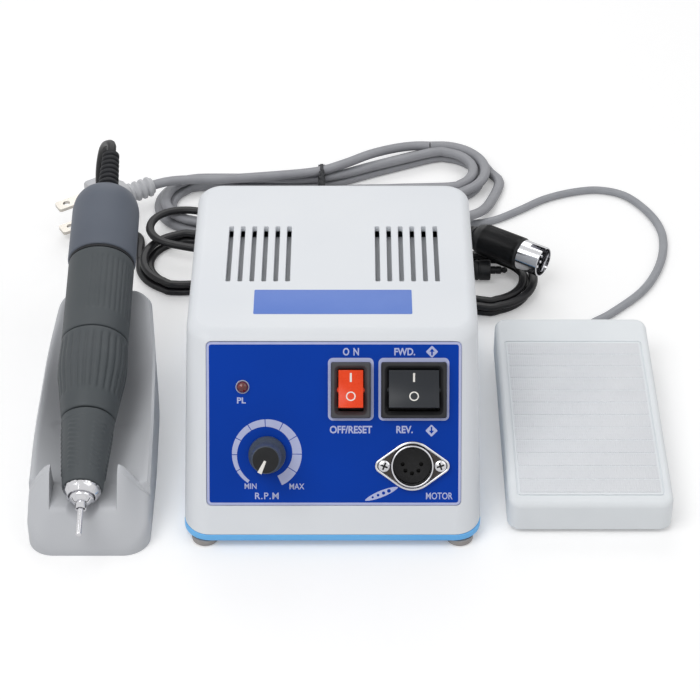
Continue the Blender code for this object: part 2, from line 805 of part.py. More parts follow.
def make_nose():
    bearing_end = bearing_front + bearing_length
    bore = spindle_radius + 2 * gap
    wide_bore = bearing_outer + gap
    add("nose_ring", turned([
        (nose_ring_bore, -nose_ring_length), (nose_ring_face, -nose_ring_length),
        (nose_ring_radius, -nose_ring_length * 0.45), (nose_ring_radius, 0), (nose_spigot, 0),
        (nose_spigot, nose_spigot_length), (nose_ring_bore, nose_spigot_length)]), chrome, handpiece)
    add("nose_sleeve", turned([
        (nose_spigot + gap, gap), (sleeve_front_radius - gap, gap),
        (sleeve_radius(foot_edge), gap + foot_edge),
        (sleeve_rear_radius, sleeve_end - gap), (spigot_outer, sleeve_end - gap), (spigot_outer, spigot_end),
        (wide_bore, spigot_end), (wide_bore, bearing_front - gap), (bore, bearing_front - gap),
        (bore, nose_spigot_length + gap), (nose_spigot + gap, nose_spigot_length + gap)], 24), grip_grey,
        handpiece)
    add("front_bearing", turned([(spindle_radius + gap, bearing_front), (bearing_outer, bearing_front),
                                 (bearing_outer, bearing_end), (spindle_radius + gap, bearing_end)]), steel,
                                 handpiece)


def make_chuck_ring():
    bore = spigot_outer + gap
    add("chuck_ring", turned([
        (bore, sleeve_end), (sleeve_rear_radius, sleeve_end), (chuck_middle_radius, chuck_middle),
        (chuck_end_radius, chuck_end - gap), (bore, chuck_end - gap)], 24), grip_grey, handpiece)


def make_motor():
    front_bore = spigot_outer + gap
    bearing_bore = rear_bearing_outer + gap
    bearing_end = rear_bearing_front + bearing_length
    shaft_bore = rotor_shaft_radius + 2 * gap
    add("motor_housing", turned([
        (front_bore, chuck_end), (chuck_end_radius, chuck_end), (housing_radius, housing_end - gap),
        (housing_spigot, housing_end - gap), (housing_spigot, housing_spigot_end),
        (shaft_bore, housing_spigot_end),
        (shaft_bore, bearing_end + gap), (bearing_bore, bearing_end + gap),
        (bearing_bore, rear_bearing_front - gap),
        (housing_bore, rear_bearing_front - gap), (housing_bore, spigot_end + gap),
        (front_bore, spigot_end + gap)],
        24), grip_grey, handpiece)
    add("stator", turned([(stator_inner, stator_front), (stator_outer, stator_front),
                          (stator_outer, stator_end),
                          (stator_inner, stator_end)], 20), core_iron, handpiece)
    add("rear_bearing", turned([
        (rotor_shaft_radius + gap, rear_bearing_front), (rear_bearing_outer, rear_bearing_front),
        (rear_bearing_outer, bearing_end), (rotor_shaft_radius + gap, bearing_end)], 20), steel, handpiece)


def make_rear_sleeve():
    straight = rear_end - dome_length
    outer = [(rear_radius, housing_end), (rear_radius, straight)]
    for k in (1, 2, 3):
        turn = k / 3 * pi / 2
        outer.append((dome_radius + (rear_radius - dome_radius) * cos(turn),
                      straight + dome_length * sin(turn)))
    hole = boot_root + gap
    profile = [(housing_spigot + gap, housing_end)] + outer
    profile += [(hole, rear_end), (hole, rear_end - 2 * rear_wall),
                (dome_radius - rear_wall, rear_end - 2 * rear_wall),
                (housing_spigot + gap, straight - rear_wall)]
    add("rear_sleeve", turned(profile, 24), grip_grey, handpiece)
    start = rear_end - boot_plug_length
    flange = rear_end - 2 * rear_wall - gap
    profile = [(0, start), (dome_radius - 2 * rear_wall, start), (dome_radius - 2 * rear_wall, flange),
               (boot_root, flange), (boot_root, rear_end)]
    profile += ribbed(rear_end, boot_end, boot_root, boot_tip, boot_ribs, 0.8)
    profile += [(boot_tip, boot_end), (0, boot_end)]
    add("cord_boot", turned(profile, 12), black_rubber, handpiece)


def make_spindle():
    pin_bore = pin_radius + gap
    collet_bore = collet_radius + gap
    bore_end = collet_end + gap
    step_end = pin_depth + 2 * collet_radius
    add("spindle_shaft", turned([
        (collet_bore, spindle_front), (spindle_radius, spindle_front), (spindle_radius, spindle_step),
        (rotor_shaft_radius, spindle_step), (rotor_shaft_radius, spindle_end), (0, spindle_end),
        (0, step_end),
        (pin_bore, step_end), (pin_bore, bore_end), (collet_bore, bore_end)], 20), steel, handpiece)
    add("rotor", turned([
        (rotor_shaft_radius + gap, rotor_front), (stator_inner - gap, rotor_front),
        (stator_inner - gap, rotor_end),
        (rotor_shaft_radius + gap, rotor_end)], 20), core_iron, handpiece)
    add("collet", turned([
        (pin_bore, -collet_front), (collet_collar, -collet_front), (collet_collar, -collet_cone),
        (collet_nose * 0.7, -collet_cone), (collet_nose, -nose_ring_length), (collet_nose, collet_radius),
        (collet_radius, spindle_front - gap), (collet_radius, collet_end), (pin_bore, collet_end)], 20),
        steel,
        handpiece)
    add("tool_pin", rod(pin_radius, -pin_reach, pin_depth, 12), chrome, handpiece)


# Cradle

def axis_height(behind):
    """Height of the handpiece's axis at a distance behind the front of the cradle."""
    return nose_height + (behind - nose_setback) * tan(handpiece_tilt)


def cradle_half_width(behind):
    half = cradle_width / 2 * along(cradle_side_shares, behind / cradle_length)
    end = max(0, min(behind, cradle_length - behind))
    if end < cradle_corner:
        half -= cradle_corner - sqrt(cradle_corner ** 2 - (cradle_corner - end) ** 2)
    return half


def cradle_top(across, behind):
    """Height of the cradle's upper surface."""
    side = abs(across)
    half = cradle_half_width(behind)
    climb = ease((behind / cradle_length - saddle_shares[0]) / (saddle_shares[1] - saddle_shares[0]))
    saddle = axis_height(behind) - housing_radius / cos(handpiece_tilt) - gap
    floor = cradle_floor + (saddle - cradle_floor) * climb
    rim = cradle_height * along(cradle_rim_shares, behind / cradle_length)
    height = floor + (rim - floor) * min(1, side / half) ** 2
    side = abs(across - handpiece_offset)
    outer = max(0, side - notch_width / 2) / (cradle_width / 2 - notch_width / 2)
    if behind < ridge_back - ridge_sweep * outer ** 2:
        crest = ridge_height - ridge_fall * outer ** 2
        height = cradle_lip + (crest - cradle_lip) * min(1, behind / ridge_front)
        if side < notch_width / 2 and behind > notch_front:
            height = min(height, notch_floor)
    groove = sleeve_radius(behind - nose_setback) + nose_clearance
    if side < groove and behind < ridge_back + ridge_sweep:
        height = min(height, axis_height(behind) - sqrt(groove ** 2 - side ** 2) / cos(handpiece_tilt))
    return height


def cradle_solid(columns, rows, drop, foot, inset):
    """Closed solid under the upper surface, lowered by drop and drawn in by inset."""
    bm = bmesh.new()
    outer_share = 1 - notch_width / cradle_width
    grid = []
    for behind in rows:
        half = cradle_half_width(behind) - inset
        line = [(-half, foot)]
        for share in columns:
            x = share * half + handpiece_offset * min(1, (1 - abs(share)) / outer_share)
            if drop:
                around = [cradle_top(x + dx, behind + dy) for dx in (-drop, 0, drop)
                          for dy in (-drop, 0, drop)]
                line.append((x, min(around) - drop))
            else:
                line.append((x, cradle_top(x, behind)))
        line.append((half, foot))
        grid.append([bm.verts.new((cradle_x + x, cradle_y + behind, z)) for x, z in line])
    for near, far in zip(grid, grid[1:]):
        for i in range(len(near) - 1):
            bm.faces.new((near[i], near[i + 1], far[i + 1], far[i]))
        bm.faces.new((near[-1], near[0], far[0], far[-1]))
    bm.faces.new(grid[0])
    bm.faces.new(reversed(grid[-1]))
    return bm


def make_cradle():
    notch_share = notch_width / cradle_width
    half_columns = (0.12, 0.23, 0.32, 0.39, 0.45, notch_share - 0.01, notch_share + 0.01, 0.7, 0.85, 0.95, 1)
    columns = [-share for share in reversed(half_columns)] + [0] + list(half_columns)
    near = [cradle_corner * share for share in (0, 0.06, 0.2, 0.4, 0.7)]
    block = [notch_front, notch_front + gap, nose_setback, (nose_setback + ridge_front) / 2, ridge_front,
             ridge_back - ridge_sweep / 2, ridge_back - gap, ridge_back + gap, ridge_back + ridge_sweep - gap,
             ridge_back + ridge_sweep + gap]
    start = ridge_back + 2 * ridge_sweep
    far = [start + (cradle_length - cradle_corner - start) * share
           for share in (0, 0.11, 0.23, 0.34, 0.45, 0.56, 0.66, 0.75, 0.83, 0.9, 0.96)]
    end = [cradle_length - cradle_corner * share for share in (0.7, 0.4, 0.2, 0.06, 0)]
    cradle = add("cradle", cradle_solid(columns, near + block + far + end, 0, 0, 0), cradle_grey)
    inner_rows = [cradle_wall + (cradle_length - 2 * cradle_wall) * k / 14 for k in range(15)]
    inner_columns = [k / 5 for k in range(-5, 6)]
    hollow = cradle_solid(inner_columns, inner_rows, cradle_wall, -overrun, cradle_wall)
    combine(cradle, add("cradle_hollow", hollow, cradle_grey))


# Pedal

def slope(front, rear, behind):
    return front + (rear - front) * behind / pedal_length


def pedal_row(inset, low, high, drop=0.0):
    """Rounded outline of the pedal, at a height that climbs from front to rear."""
    radius = max(pedal_corner - inset, pedal_corner / 3)
    row = []
    for x, y in rounded(pedal_width - 2 * inset, pedal_length - 2 * inset, radius):
        behind = y + pedal_length / 2
        row.append((pedal_x + x, pedal_y + behind, slope(low, high, behind) - drop))
    return row


def make_treadle():
    top = (pedal_front_height, pedal_rear_height)
    rows = [pedal_row(0, skirt_front, skirt_rear)]
    for k in range(3):
        turn = k / 2 * pi / 2
        rows.append(pedal_row(pedal_crown * (1 - cos(turn)), *top, pedal_crown * (1 - sin(turn))))
    treadle = add("pedal_treadle", loft(rows), pedal_grey, None, (0, 0, 0))
    hollow = loft([pedal_row(pedal_wall, -overrun, -overrun), pedal_row(pedal_wall, *top, pedal_wall)])
    combine(treadle, add("treadle_hollow", hollow, pedal_grey))
    ceiling = slope(*top, switch_setback) - pedal_wall
    boss = rod(press_radius, plunger_top + gap, ceiling + pedal_wall / 2, 12)
    combine(treadle, add("press_boss", boss, pedal_grey, None, (pedal_x, pedal_y + switch_setback, 0)),
            "UNION")
    pin_bore = cross_bar(hinge_radius + gap, pedal_width / 2 - pedal_wall / 3)
    combine(treadle, add("treadle_pin_bore", pin_bore, pedal_grey, None, (pedal_x, pedal_y + hinge_setback,
                                                                          hinge_height)))
    half = cord_gland_radius + 2 * gap
    travel = (pedal_length - hinge_setback) * treadle_range
    notch_top = cord_gland_height + cord_gland_radius + travel + gap
    notch = box((-half, -2 * pedal_wall, -overrun), (half, pedal_wall, notch_top))
    combine(treadle, add("cord_notch", notch, pedal_grey, None,
                         (pedal_x + cord_gland_right, pedal_y + pedal_length,
                                                                 0)))
    # The treadle turns about its hinge pin, so its origin is moved there
    hinge = Vector((pedal_x, pedal_y + hinge_setback, hinge_height))
    treadle.data.transform(Matrix.Translation(-hinge))
    treadle.location = hinge


def make_pedal_base():
    inset = pedal_wall + pedal_base_inset
    plate = [(x, y + pedal_length / 2) for x, y in rounded(pedal_width - 2 * inset, pedal_length - 2 * inset,
                                                           pedal_corner / 2)]
    base = add("pedal_base", stack((plate, 0), (plate, pedal_base_thickness)), pedal_grey, None,
               (pedal_x, pedal_y, 0))
    low = pedal_base_thickness / 2
    for k, side in enumerate((-1, 1)):
        outer = side * (pedal_width / 2 - ear_inset)
        inner = outer - side * ear_thickness
        ear = box((min(inner, outer), hinge_setback - ear_length / 2 + gap, low),
                  (max(inner, outer), hinge_setback + ear_length / 2, hinge_height + hinge_radius + 3 * gap))
        combine(base, add(f"hinge_ear_{k}", ear, pedal_grey, None, (pedal_x, pedal_y, 0)), "UNION")
    bore = cross_bar(hinge_radius + gap, pedal_width / 2 - ear_inset + gap)
    combine(base, add("ear_bore", bore, pedal_grey, None, (pedal_x, pedal_y + hinge_setback, hinge_height)))
    boss = rod(spring_radius - spring_wire - 2 * gap, low, pedal_base_thickness + spring_boss_height, 16)
    combine(base, add("spring_boss", boss, pedal_grey, None, (pedal_x, pedal_y + spring_setback, 0)), "UNION")
    gland = rod(cord_gland_radius, -cord_gland_length, cord_gland_proud, 12)
    place = frame("cord_gland_place", (pedal_x + cord_gland_right, pedal_y + pedal_length, cord_gland_height),
                  (-pi / 2, 0, 0))
    combine(base, add("cord_gland", gland, pedal_grey, place), "UNION")


def make_pedal_works():
    hinge = (pedal_x, pedal_y + hinge_setback, hinge_height)
    reach = pedal_width / 2 - pedal_wall / 3 - gap
    add("treadle_pin", cross_bar(hinge_radius, reach), steel, None, hinge)
    place = (pedal_x, pedal_y + switch_setback, 0)
    low = pedal_base_thickness + gap
    body = box((-switch_length / 2, -switch_width / 2, low), (switch_length / 2, switch_width / 2,
                                                              low + switch_height))
    switch = add("pedal_switch", body, black_plastic, None, place)
    travel = (switch_setback - hinge_setback) * treadle_range
    bore_floor = plunger_top - plunger_length - travel - gap
    bore = rod(plunger_radius + gap, bore_floor, low + switch_height + overrun, 12)
    combine(switch, add("plunger_bore", bore, black_plastic, None, place))
    add("switch_plunger", rod(plunger_radius, plunger_top - plunger_length, plunger_top, 12), red_lens, None,
        place)
    low = pedal_base_thickness + gap + spring_wire
    high = slope(pedal_front_height, pedal_rear_height, spring_setback) - pedal_wall - 2 * gap - spring_wire
    points = []
    for k in range(6 * spring_turns + 1):
        turn = k / 6 * 2 * pi
        points.append((spring_radius * cos(turn), spring_radius * sin(turn),
                       low + (high - low) * k / 6 / spring_turns))
    tube("pedal_spring", points, 2 * spring_wire, 1, steel, (pedal_x, pedal_y + spring_setback, 0))


# Cords

def tube(name, points, diameter, resolution, mat, location=(0, 0, 0)):
    curve = bpy.data.curves.new(name, "CURVE")
    curve.dimensions = "3D"
    curve.bevel_depth = diameter / 2
    curve.bevel_resolution = resolution
    curve.use_fill_caps = True
    curve.resolution_u = 1
    curve.render_resolution_u = 0
    spline = curve.splines.new("POLY")
    spline.points.add(len(points) - 1)
    for target, point in zip(spline.points, points):
        target.co = (*point, 1)
    curve.materials.append(mat)
    obj = bpy.data.objects.new(name, curve)
    obj.location = location
    bpy.context.collection.objects.link(obj)
    return obj


def smooth_route(points, step):
    """Points about a step apart on a smooth curve through a route's own points."""
    points = [Vector(p) for p in points]
    padded = [2 * points[0] - points[1]] + points + [2 * points[-1] - points[-2]]
    route = []
    for a, b, c, d in zip(padded, padded[1:], padded[2:], padded[3:]):
        pieces = max(1, round((c - b).length / step))
        for k in range(pieces):
            t = k / pieces
            route.append(0.5 * (2 * b + (c - a) * t + (2 * a - 5 * b + 4 * c - d) * t ** 2
                                + (3 * b - 3 * c + d - a) * t ** 3))
    route.append(points[-1])
    return route


class Hank:
    """A cord folded to and fro: round folds at both ends, runs drawn in at the waist.

    A loop has 24 steps: 8 round the right fold, 4 back, 8 round the left fold and 4 forward.
    """

    def __init__(self, left, right, fold, waist, diameter, start, layers):
        self.middle = (Vector(left) + Vector(right)) / 2
        span = Vector(right) - Vector(left)
        self.half = span.length / 2
        self.turn = atan2(span.y, span.x)
        self.fold = fold
        self.waist = waist
        self.pitch = diameter + turn_gap
        self.rise = diameter + layer_gap
        self.level = diameter / 2 + table_gap
        self.start = start
        self.layers = layers

    def run(self, x, side, inset):
        wave = pi * x / self.half
        width = self.fold - (self.fold - self.waist) * (0.5 + 0.5 * cos(wave))
        lean = (self.fold - self.waist) * 0.5 * pi / self.half * sin(wave)
        length = hypot(1, lean)
        return x + lean / length * inset, side * (width - inset / length)

    def point(self, step, inset):
        step %= 24
        if step <= 8:
            turn = (step / 8 - 0.5) * pi
            x = self.half + (self.fold - inset) * cos(turn)
            y = (self.fold - inset) * sin(turn)
        elif step < 12:
            x, y = self.run(self.half - (step - 8) / 2 * self.half, 1, inset)
        elif step <= 20:
            turn = ((step - 12) / 8 + 0.5) * pi
            x = -self.half + (self.fold - inset) * cos(turn)
            y = (self.fold - inset) * sin(turn)
        else:
            x, y = self.run((step - 20) / 2 * self.half - self.half, -1, inset)
        return (self.middle.x + x * cos(self.turn) - y * sin(self.turn),
                self.middle.y + x * sin(self.turn) + y * cos(self.turn))

    def points(self):
        """The layers spiral in and out again, and climb along a run of 4 steps."""
        points = []
        step = self.start
        inset = 0
        for layer, steps in enumerate(self.layers):
            for _ in range(steps):
                points.append(Vector((*self.point(step, inset), self.level + layer * self.rise)))
                step += 1
                inset += (-1) ** layer * self.pitch / 24
            if layer < len(self.layers) - 1:
                for k in range(4):
                    points.append(Vector((*self.point(step, inset),
                                          self.level + (layer + ease(k / 4)) * self.rise)))
                    step += 1
        points.append(Vector((*self.point(step, inset), self.level + (len(self.layers) - 1) * self.rise)))
        return points


def stub(points, start, distance):
    """A point straight off one end of a hank."""
    a, b = (points[0], points[1]) if start else (points[-1], points[-2])
    return a + (a - b).normalized() * distance


def segment_gap(a, b, c, d):
    """Least distance between two segments."""
    u = b - a
    v = d - c
    w = a - c
    uu, uv, vv, uw, vw = u.dot(u), u.dot(v), v.dot(v), u.dot(w), v.dot(w)
    det = uu * vv - uv * uv
    s = min(1, max(0, (uv * vw - vv * uw) / det)) if det > 1e-12 else 0
    t = min(1, max(0, (uv * s + vw) / vv))
    s = min(1, max(0, (uv * t - uw) / uu))
    return (w + u * s - v * t).length


def report_cord(name, points, diameter):
    """Print a cord's length and, for a wound one, the least gap between its turns."""
    length = sum((b - a).length for a, b in zip(points, points[1:]))
    least = min((segment_gap(points[i], points[i + 1], points[j], points[j + 1])
                 for i in range(len(points) - 1) for j in range(i + 6, len(points) - 1)), default=diameter)
    print(f"{name}: length {length:.3f} m, least gap to itself {least - diameter:.5f} m")


# Where the cords run into their plugs, and the way two of the plugs point
din_start = Vector((0.0492, 0.1063, 0.016))
din_heading = Vector((0.0082, -0.0056, 0)).normalized()
mains_plug_start = Vector((-0.090, 0.1465, 0.0136))
mains_plug_heading = Vector((-0.087, -0.050, -0.006)).normalized()
pedal_plug_start = Vector((0.052, 0.0932, 0.0046))


def make_cords():
    mains = Hank((-0.067, 0.1472), (0.042, 0.1703), 0.0233, 0.0124, mains_cord, 4, (40, 32)).points()
    motor = Hank((-0.072, 0.102), (0.058, 0.087), 0.0215, 0.0076, motor_cord, 16, (28, 32)).points()
    pedal = Hank((-0.019, 0.125), (0.025, 0.129), 0.0148, 0.0140, pedal_cord, 12, (20, 20, 20, 32)).points()
    gland_end = Vector((console_x + gland_right, console_y + console_depth + gland_length + gap,
                        gland_height))
    mains_tail = [gland_end, (0.0255, 0.093, 0.0259), (0.030, 0.103, 0.025), (0.037, 0.112, 0.0225),
                  (0.045, 0.1205, 0.0172), (0.053, 0.1295, 0.011), (0.0595, 0.139, 0.006),
                  (0.064, 0.149, 0.0034),
                  stub(mains, True, 0.010), stub(mains, True, gap)]
    mains_lead = [stub(mains, False, gap), stub(mains, False, 0.007), (0.021, 0.187, 0.0098),
                  (0.009, 0.1785, 0.0126), (-0.003, 0.1695, 0.0134), (-0.0156, 0.163, 0.0134),
                  (-0.035, 0.1595, 0.0134), (-0.0586, 0.1565, 0.0134), (-0.0718, 0.1548, 0.0134),
                  (-0.0815, 0.1514, 0.0135), mains_plug_start]
    axis = Vector((0, cos(handpiece_tilt), sin(handpiece_tilt)))
    boot = Vector((cradle_x + handpiece_offset, nose_y, nose_height)) + axis * (boot_end + gap)
    motor_lead = [boot, boot + axis * 0.0047, (-0.1023, 0.0993, 0.0672), (-0.1058, 0.1068, 0.0615),
                  (-0.1086, 0.111, 0.050), (-0.1098, 0.113, 0.036), (-0.110, 0.1154, 0.023),
                  (-0.1094, 0.1189, 0.0135), (-0.1076, 0.123, 0.0072), (-0.1038, 0.1259, 0.0035),
                  (-0.0995, 0.126, 0.0021), (-0.0958, 0.1234, 0.002), (-0.0942, 0.1186, 0.002),
                  stub(motor, True, 0.006), stub(motor, True, gap)]
    motor_tail = [stub(motor, False, gap), stub(motor, False, 0.006), (0.038, 0.1074, 0.0084),
                  (0.020, 0.1054, 0.0105), (0, 0.1044, 0.0105), (-0.020, 0.1044, 0.0105),
                  (-0.038, 0.109, 0.011),
                  (-0.049, 0.1175, 0.012), (-0.058, 0.126, 0.0129), (-0.070, 0.1315, 0.0129),
                  (-0.081, 0.131, 0.0129),
                  (-0.088, 0.1255, 0.0126), (-0.0895, 0.1175, 0.0116), (-0.084, 0.110, 0.0109),
                  (-0.070, 0.105, 0.0106), (-0.045, 0.100, 0.0106), (-0.015, 0.097, 0.0106),
                  (0.004, 0.097, 0.0107),
                  (0.013, 0.0982, 0.0114), (0.021, 0.1014, 0.0142), (0.027, 0.1048, 0.0154),
                  (0.034, 0.1095, 0.0162),
                  (0.041, 0.1119, 0.0162), din_start]
    gland = Vector((pedal_x + cord_gland_right, pedal_y + pedal_length + cord_gland_proud + gap,
                    cord_gland_height))
    pedal_lead = [gland, gland + Vector((0, pedal_cord, 0)), (0.0985, 0.0525, 0.0026), (0.1035, 0.059, 0.002),
                  (0.112, 0.066, 0.002), (0.1265, 0.0815, 0.002), (0.1352, 0.098, 0.002),
                  (0.1396, 0.115, 0.002),
                  (0.1396, 0.130, 0.002),
                  (0.1348, 0.144, 0.002), (0.1262, 0.156, 0.002), (0.1146, 0.1605, 0.002),
                  (0.102, 0.1586, 0.002),
                  (0.089, 0.153, 0.002), (0.077, 0.144, 0.002), (0.065, 0.136, 0.002), (0.054, 0.1335, 0.002),
                  (0.046, 0.138, 0.002), (0.037, 0.1436, 0.002), (0.025, 0.1467, 0.002),
                  (0.008, 0.145, 0.002),
                  stub(pedal, True, 0.010), stub(pedal, True, gap)]
    pedal_tail = [stub(pedal, False, gap), stub(pedal, False, 0.006), (-0.004, 0.1063, 0.0154),
                  (0.0025, 0.1023, 0.0156), (0.0075, 0.097, 0.0154), (0.013, 0.0928, 0.0136),
                  (0.020, 0.0914, 0.0104),
                  (0.028, 0.0915, 0.0074), (0.037, 0.092, 0.0056), (0.046, 0.093, 0.0047), pedal_plug_start]
    free = (("mains_tail", mains_tail, mains_cord, cord_grey),
            ("mains_lead", mains_lead, mains_cord, cord_grey),
            ("motor_lead", motor_lead, motor_cord, cord_black),
            ("motor_tail", motor_tail, motor_cord, cord_black),
            ("pedal_lead", pedal_lead, pedal_cord, cord_grey),
            ("pedal_tail", pedal_tail, pedal_cord, cord_grey))
    for name, route, diameter, mat in free:
        points = smooth_route(route, point_spacing_share * diameter)
        report_cord(name, points, diameter)
        tube(name, points, diameter, 2, mat)
    for name, points, diameter, mat in (("mains_hank", mains, mains_cord, cord_grey),
                                        ("motor_hank", motor, motor_cord, cord_black),
                                        ("pedal_hank", pedal, pedal_cord, cord_grey)):
        report_cord(name, points, diameter)
        tube(name, points, diameter, 1, mat)


# Plugs

def make_plugs():
    place = frame_along("din_place", din_start + din_heading * gap, din_heading)
    bore = din_spigot + gap
    start = din_length - din_spigot_length - gap
    profile = [(0, 0), (din_tail, 0), (din_tail, din_radius / 2), (din_radius * 0.8, din_radius),
               (din_radius, 1.5 * din_radius), (din_radius, din_length), (bore, din_length), (bore, start),
               (0, start)]
    add("din_plug", turned(profile), black_plastic, place)
    web = din_length + gap + din_web
    profile = [(0, start + gap), (din_spigot, start + gap), (din_spigot, din_length + gap),
               (din_shell_radius, din_length + gap), (din_shell_radius, din_length + gap + din_shell_length),
               (din_shell_bore, din_length + gap + din_shell_length), (din_shell_bore, web), (0, web)]
    add("din_shell", turned(profile), chrome, place)

    place = frame_along("mains_plug_place", mains_plug_start + mains_plug_heading * gap, mains_plug_heading)
    layers = []
    for radius, height in [(relief_radius, 0)] + ribbed(0, relief_length, relief_radius + relief_rib,
                                                        relief_radius + relief_rib, relief_ribs):
        layers.append((rounded(2 * radius, 2 * radius, radius * 0.98, 3), height))
    for share, wide, high in ((0.5, 0.75, 0.62), (0.62, 1, 0.92), (0.7, 1, 1), (0.97, 1, 1), (1, 0.94, 0.96)):
        outline = rounded(mains_plug_thickness * wide, mains_plug_height * high, mains_plug_corner * 0.9, 3)
        layers.append((outline, mains_plug_length * share))
    plug = add("mains_plug", stack(*layers), cord_grey, place)
    for k, side in enumerate((-1, 1), 1):
        middle = (0, side * blade_pitch / 2, 0)
        half = blade_width / 2
        thick = blade_thickness / 2
        root = mains_plug_length - blade_root
        blade = box((-half, -thick, root + gap), (half, thick, mains_plug_length + blade_length))
        add(f"mains_blade_{k}", blade, steel, place, middle)
        slot = box((-half - gap, -thick - gap, root), (half + gap, thick + gap, mains_plug_length + overrun))
        combine(plug, add(f"blade_slot_{k}", slot, steel, place, middle))

    place = frame_along("pedal_plug_place", pedal_plug_start + Vector((gap, 0, 0)), (1, 0, 0))
    end = pedal_plug_length + pedal_pin_length
    tip = pedal_pin_radius
    profile = [(0, 0), (pedal_plug_tail, 0), (pedal_plug_radius, pedal_plug_radius / 2),
               (pedal_plug_radius, pedal_plug_length), (tip, pedal_plug_length), (tip, end - tip),
               (tip / 3, end),
               (0, end)]
    add("pedal_plug", turned(profile, 16), black_plastic, place)


def make_all():
    shell = make_shell()
    base = make_base()
    panel = make_panel(shell)
    make_switch("power", panel, power_right, power_width, red_rocker)
    make_switch("direction", panel, direction_right, direction_width, black_plastic)
    make_lamp(panel)
    make_speed_control(panel)
    make_motor_socket(panel)
    make_transformer()
    make_board(base)
    make_rear_fittings(shell)
    make_nose()
    make_chuck_ring()
    make_motor()
    make_rear_sleeve()
    make_spindle()
    make_cradle()
    make_treadle()
    make_pedal_base()
    make_pedal_works()
    make_cords()
    make_plugs()


make_all()
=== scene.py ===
# Looks of a dental lab micromotor set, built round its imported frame.
# Shapes are drawn in millimetres in the frame of what carries them, and put in place in metres at the end.
import json
from math import acos, atan2, cos, degrees, hypot, pi, radians, sin, sqrt, tan

import bmesh
import bpy
from mathutils import Matrix, Vector


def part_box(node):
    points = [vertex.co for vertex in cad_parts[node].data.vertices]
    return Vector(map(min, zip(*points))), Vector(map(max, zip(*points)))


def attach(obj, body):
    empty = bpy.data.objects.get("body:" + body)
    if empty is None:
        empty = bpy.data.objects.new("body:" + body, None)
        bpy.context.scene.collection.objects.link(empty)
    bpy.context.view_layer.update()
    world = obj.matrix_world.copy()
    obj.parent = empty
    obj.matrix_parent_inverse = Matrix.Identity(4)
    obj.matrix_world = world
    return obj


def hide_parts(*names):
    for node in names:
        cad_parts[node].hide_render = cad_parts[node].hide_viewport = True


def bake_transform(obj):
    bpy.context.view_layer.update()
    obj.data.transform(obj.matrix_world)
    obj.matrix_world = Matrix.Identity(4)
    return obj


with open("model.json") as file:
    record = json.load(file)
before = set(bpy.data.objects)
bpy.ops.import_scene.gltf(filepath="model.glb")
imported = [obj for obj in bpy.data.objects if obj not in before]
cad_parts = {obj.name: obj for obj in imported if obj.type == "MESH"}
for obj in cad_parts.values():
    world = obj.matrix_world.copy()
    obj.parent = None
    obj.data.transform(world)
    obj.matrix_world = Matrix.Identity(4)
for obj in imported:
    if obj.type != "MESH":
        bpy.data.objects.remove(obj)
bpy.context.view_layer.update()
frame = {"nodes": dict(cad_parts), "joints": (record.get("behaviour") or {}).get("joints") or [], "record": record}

mm = 0.001
gap = 0.3                   # between pieces that only just clear
joints = {joint["name"]: joint for joint in frame["joints"]}


def cornersOf(node):
    low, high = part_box(node)
    return low / mm, high / mm


def jointPlace(name):
    return Vector(joints[name]["pos_m"]) / mm


def jointAxis(name):
    return Vector(joints[name]["axis"]).normalized()


def frameOf(right, up, out, origin):
    # a frame whose X, Y and Z run right, up and out
    rows = [[right[k], up[k], out[k], origin[k]] for k in range(3)]
    return Matrix(rows + [[0, 0, 0, 1]])


# Shapes

def turn(bm, angle, axis):
    bmesh.ops.rotate(bm, cent=(0, 0, 0), matrix=Matrix.Rotation(angle, 3, axis), verts=bm.verts)
    return bm


def moved(bm, x=0.0, y=0.0, z=0.0, place=None):
    bm.transform((place or Matrix.Identity(4)) @ Matrix.Translation((x, y, z)))
    return bm


def soften(bm, edges, width, steps=3):
    bmesh.ops.bevel(bm, geom=list(edges), offset=width, offset_type="OFFSET", affect="EDGES", segments=steps,
                    profile=0.5, material=-1, clamp_overlap=True)
    return bm


def block(low, high, edge=0.0, steps=3):
    bm = bmesh.new()
    bmesh.ops.create_cube(bm, size=1)
    low, high = Vector(low), Vector(high)
    bmesh.ops.scale(bm, vec=high - low, verts=bm.verts)
    bmesh.ops.translate(bm, vec=(high + low) / 2, verts=bm.verts)
    if edge:
        soften(bm, bm.edges, edge, steps)
    return bm


def roundedFace(width, height, corner, steps=8):
    bm = bmesh.new()
    bmesh.ops.create_grid(bm, x_segments=1, y_segments=1, size=0.5)
    bmesh.ops.scale(bm, vec=(width, height, 1), verts=bm.verts)
    bmesh.ops.bevel(bm, geom=bm.verts[:], offset=corner, affect="VERTICES", segments=steps, profile=0.5,
                    material=-1)
    return bm


def raiseFaces(bm, height):
    raised = bmesh.ops.extrude_face_region(bm, geom=bm.faces[:])["geom"]
    bmesh.ops.translate(bm, vec=(0, 0, height),
                        verts=[v for v in raised if isinstance(v, bmesh.types.BMVert)])
    bmesh.ops.recalc_face_normals(bm, faces=bm.faces)
    return bm


def softenRim(bm, level, width, steps=3):
    rim = [e for e in bm.edges if all(abs(v.co.z - level) < 0.001 for v in e.verts)]
    return soften(bm, rim, width, steps)


def plate(width, height, corner, low, high, rim=0.0, steps=8):
    bm = raiseFaces(roundedFace(width, height, corner, steps), high - low)
    if rim:
        softenRim(bm, high - low, rim)
    return moved(bm, z=low)


def frameLine(width, height, corner, line, low, high, rim=0.0):
    # a closed line round a rounded rectangle
    bm = roundedFace(width, height, corner)
    inset = bmesh.ops.inset_region(bm, faces=bm.faces[:], thickness=line, use_boundary=True,
                                   use_even_offset=True)
    kept = set(inset["faces"])
    bmesh.ops.delete(bm, geom=[face for face in bm.faces if face not in kept], context="FACES")
    raiseFaces(bm, high - low)
    if rim:
        softenRim(bm, high - low, rim, 2)
    return moved(bm, z=low)


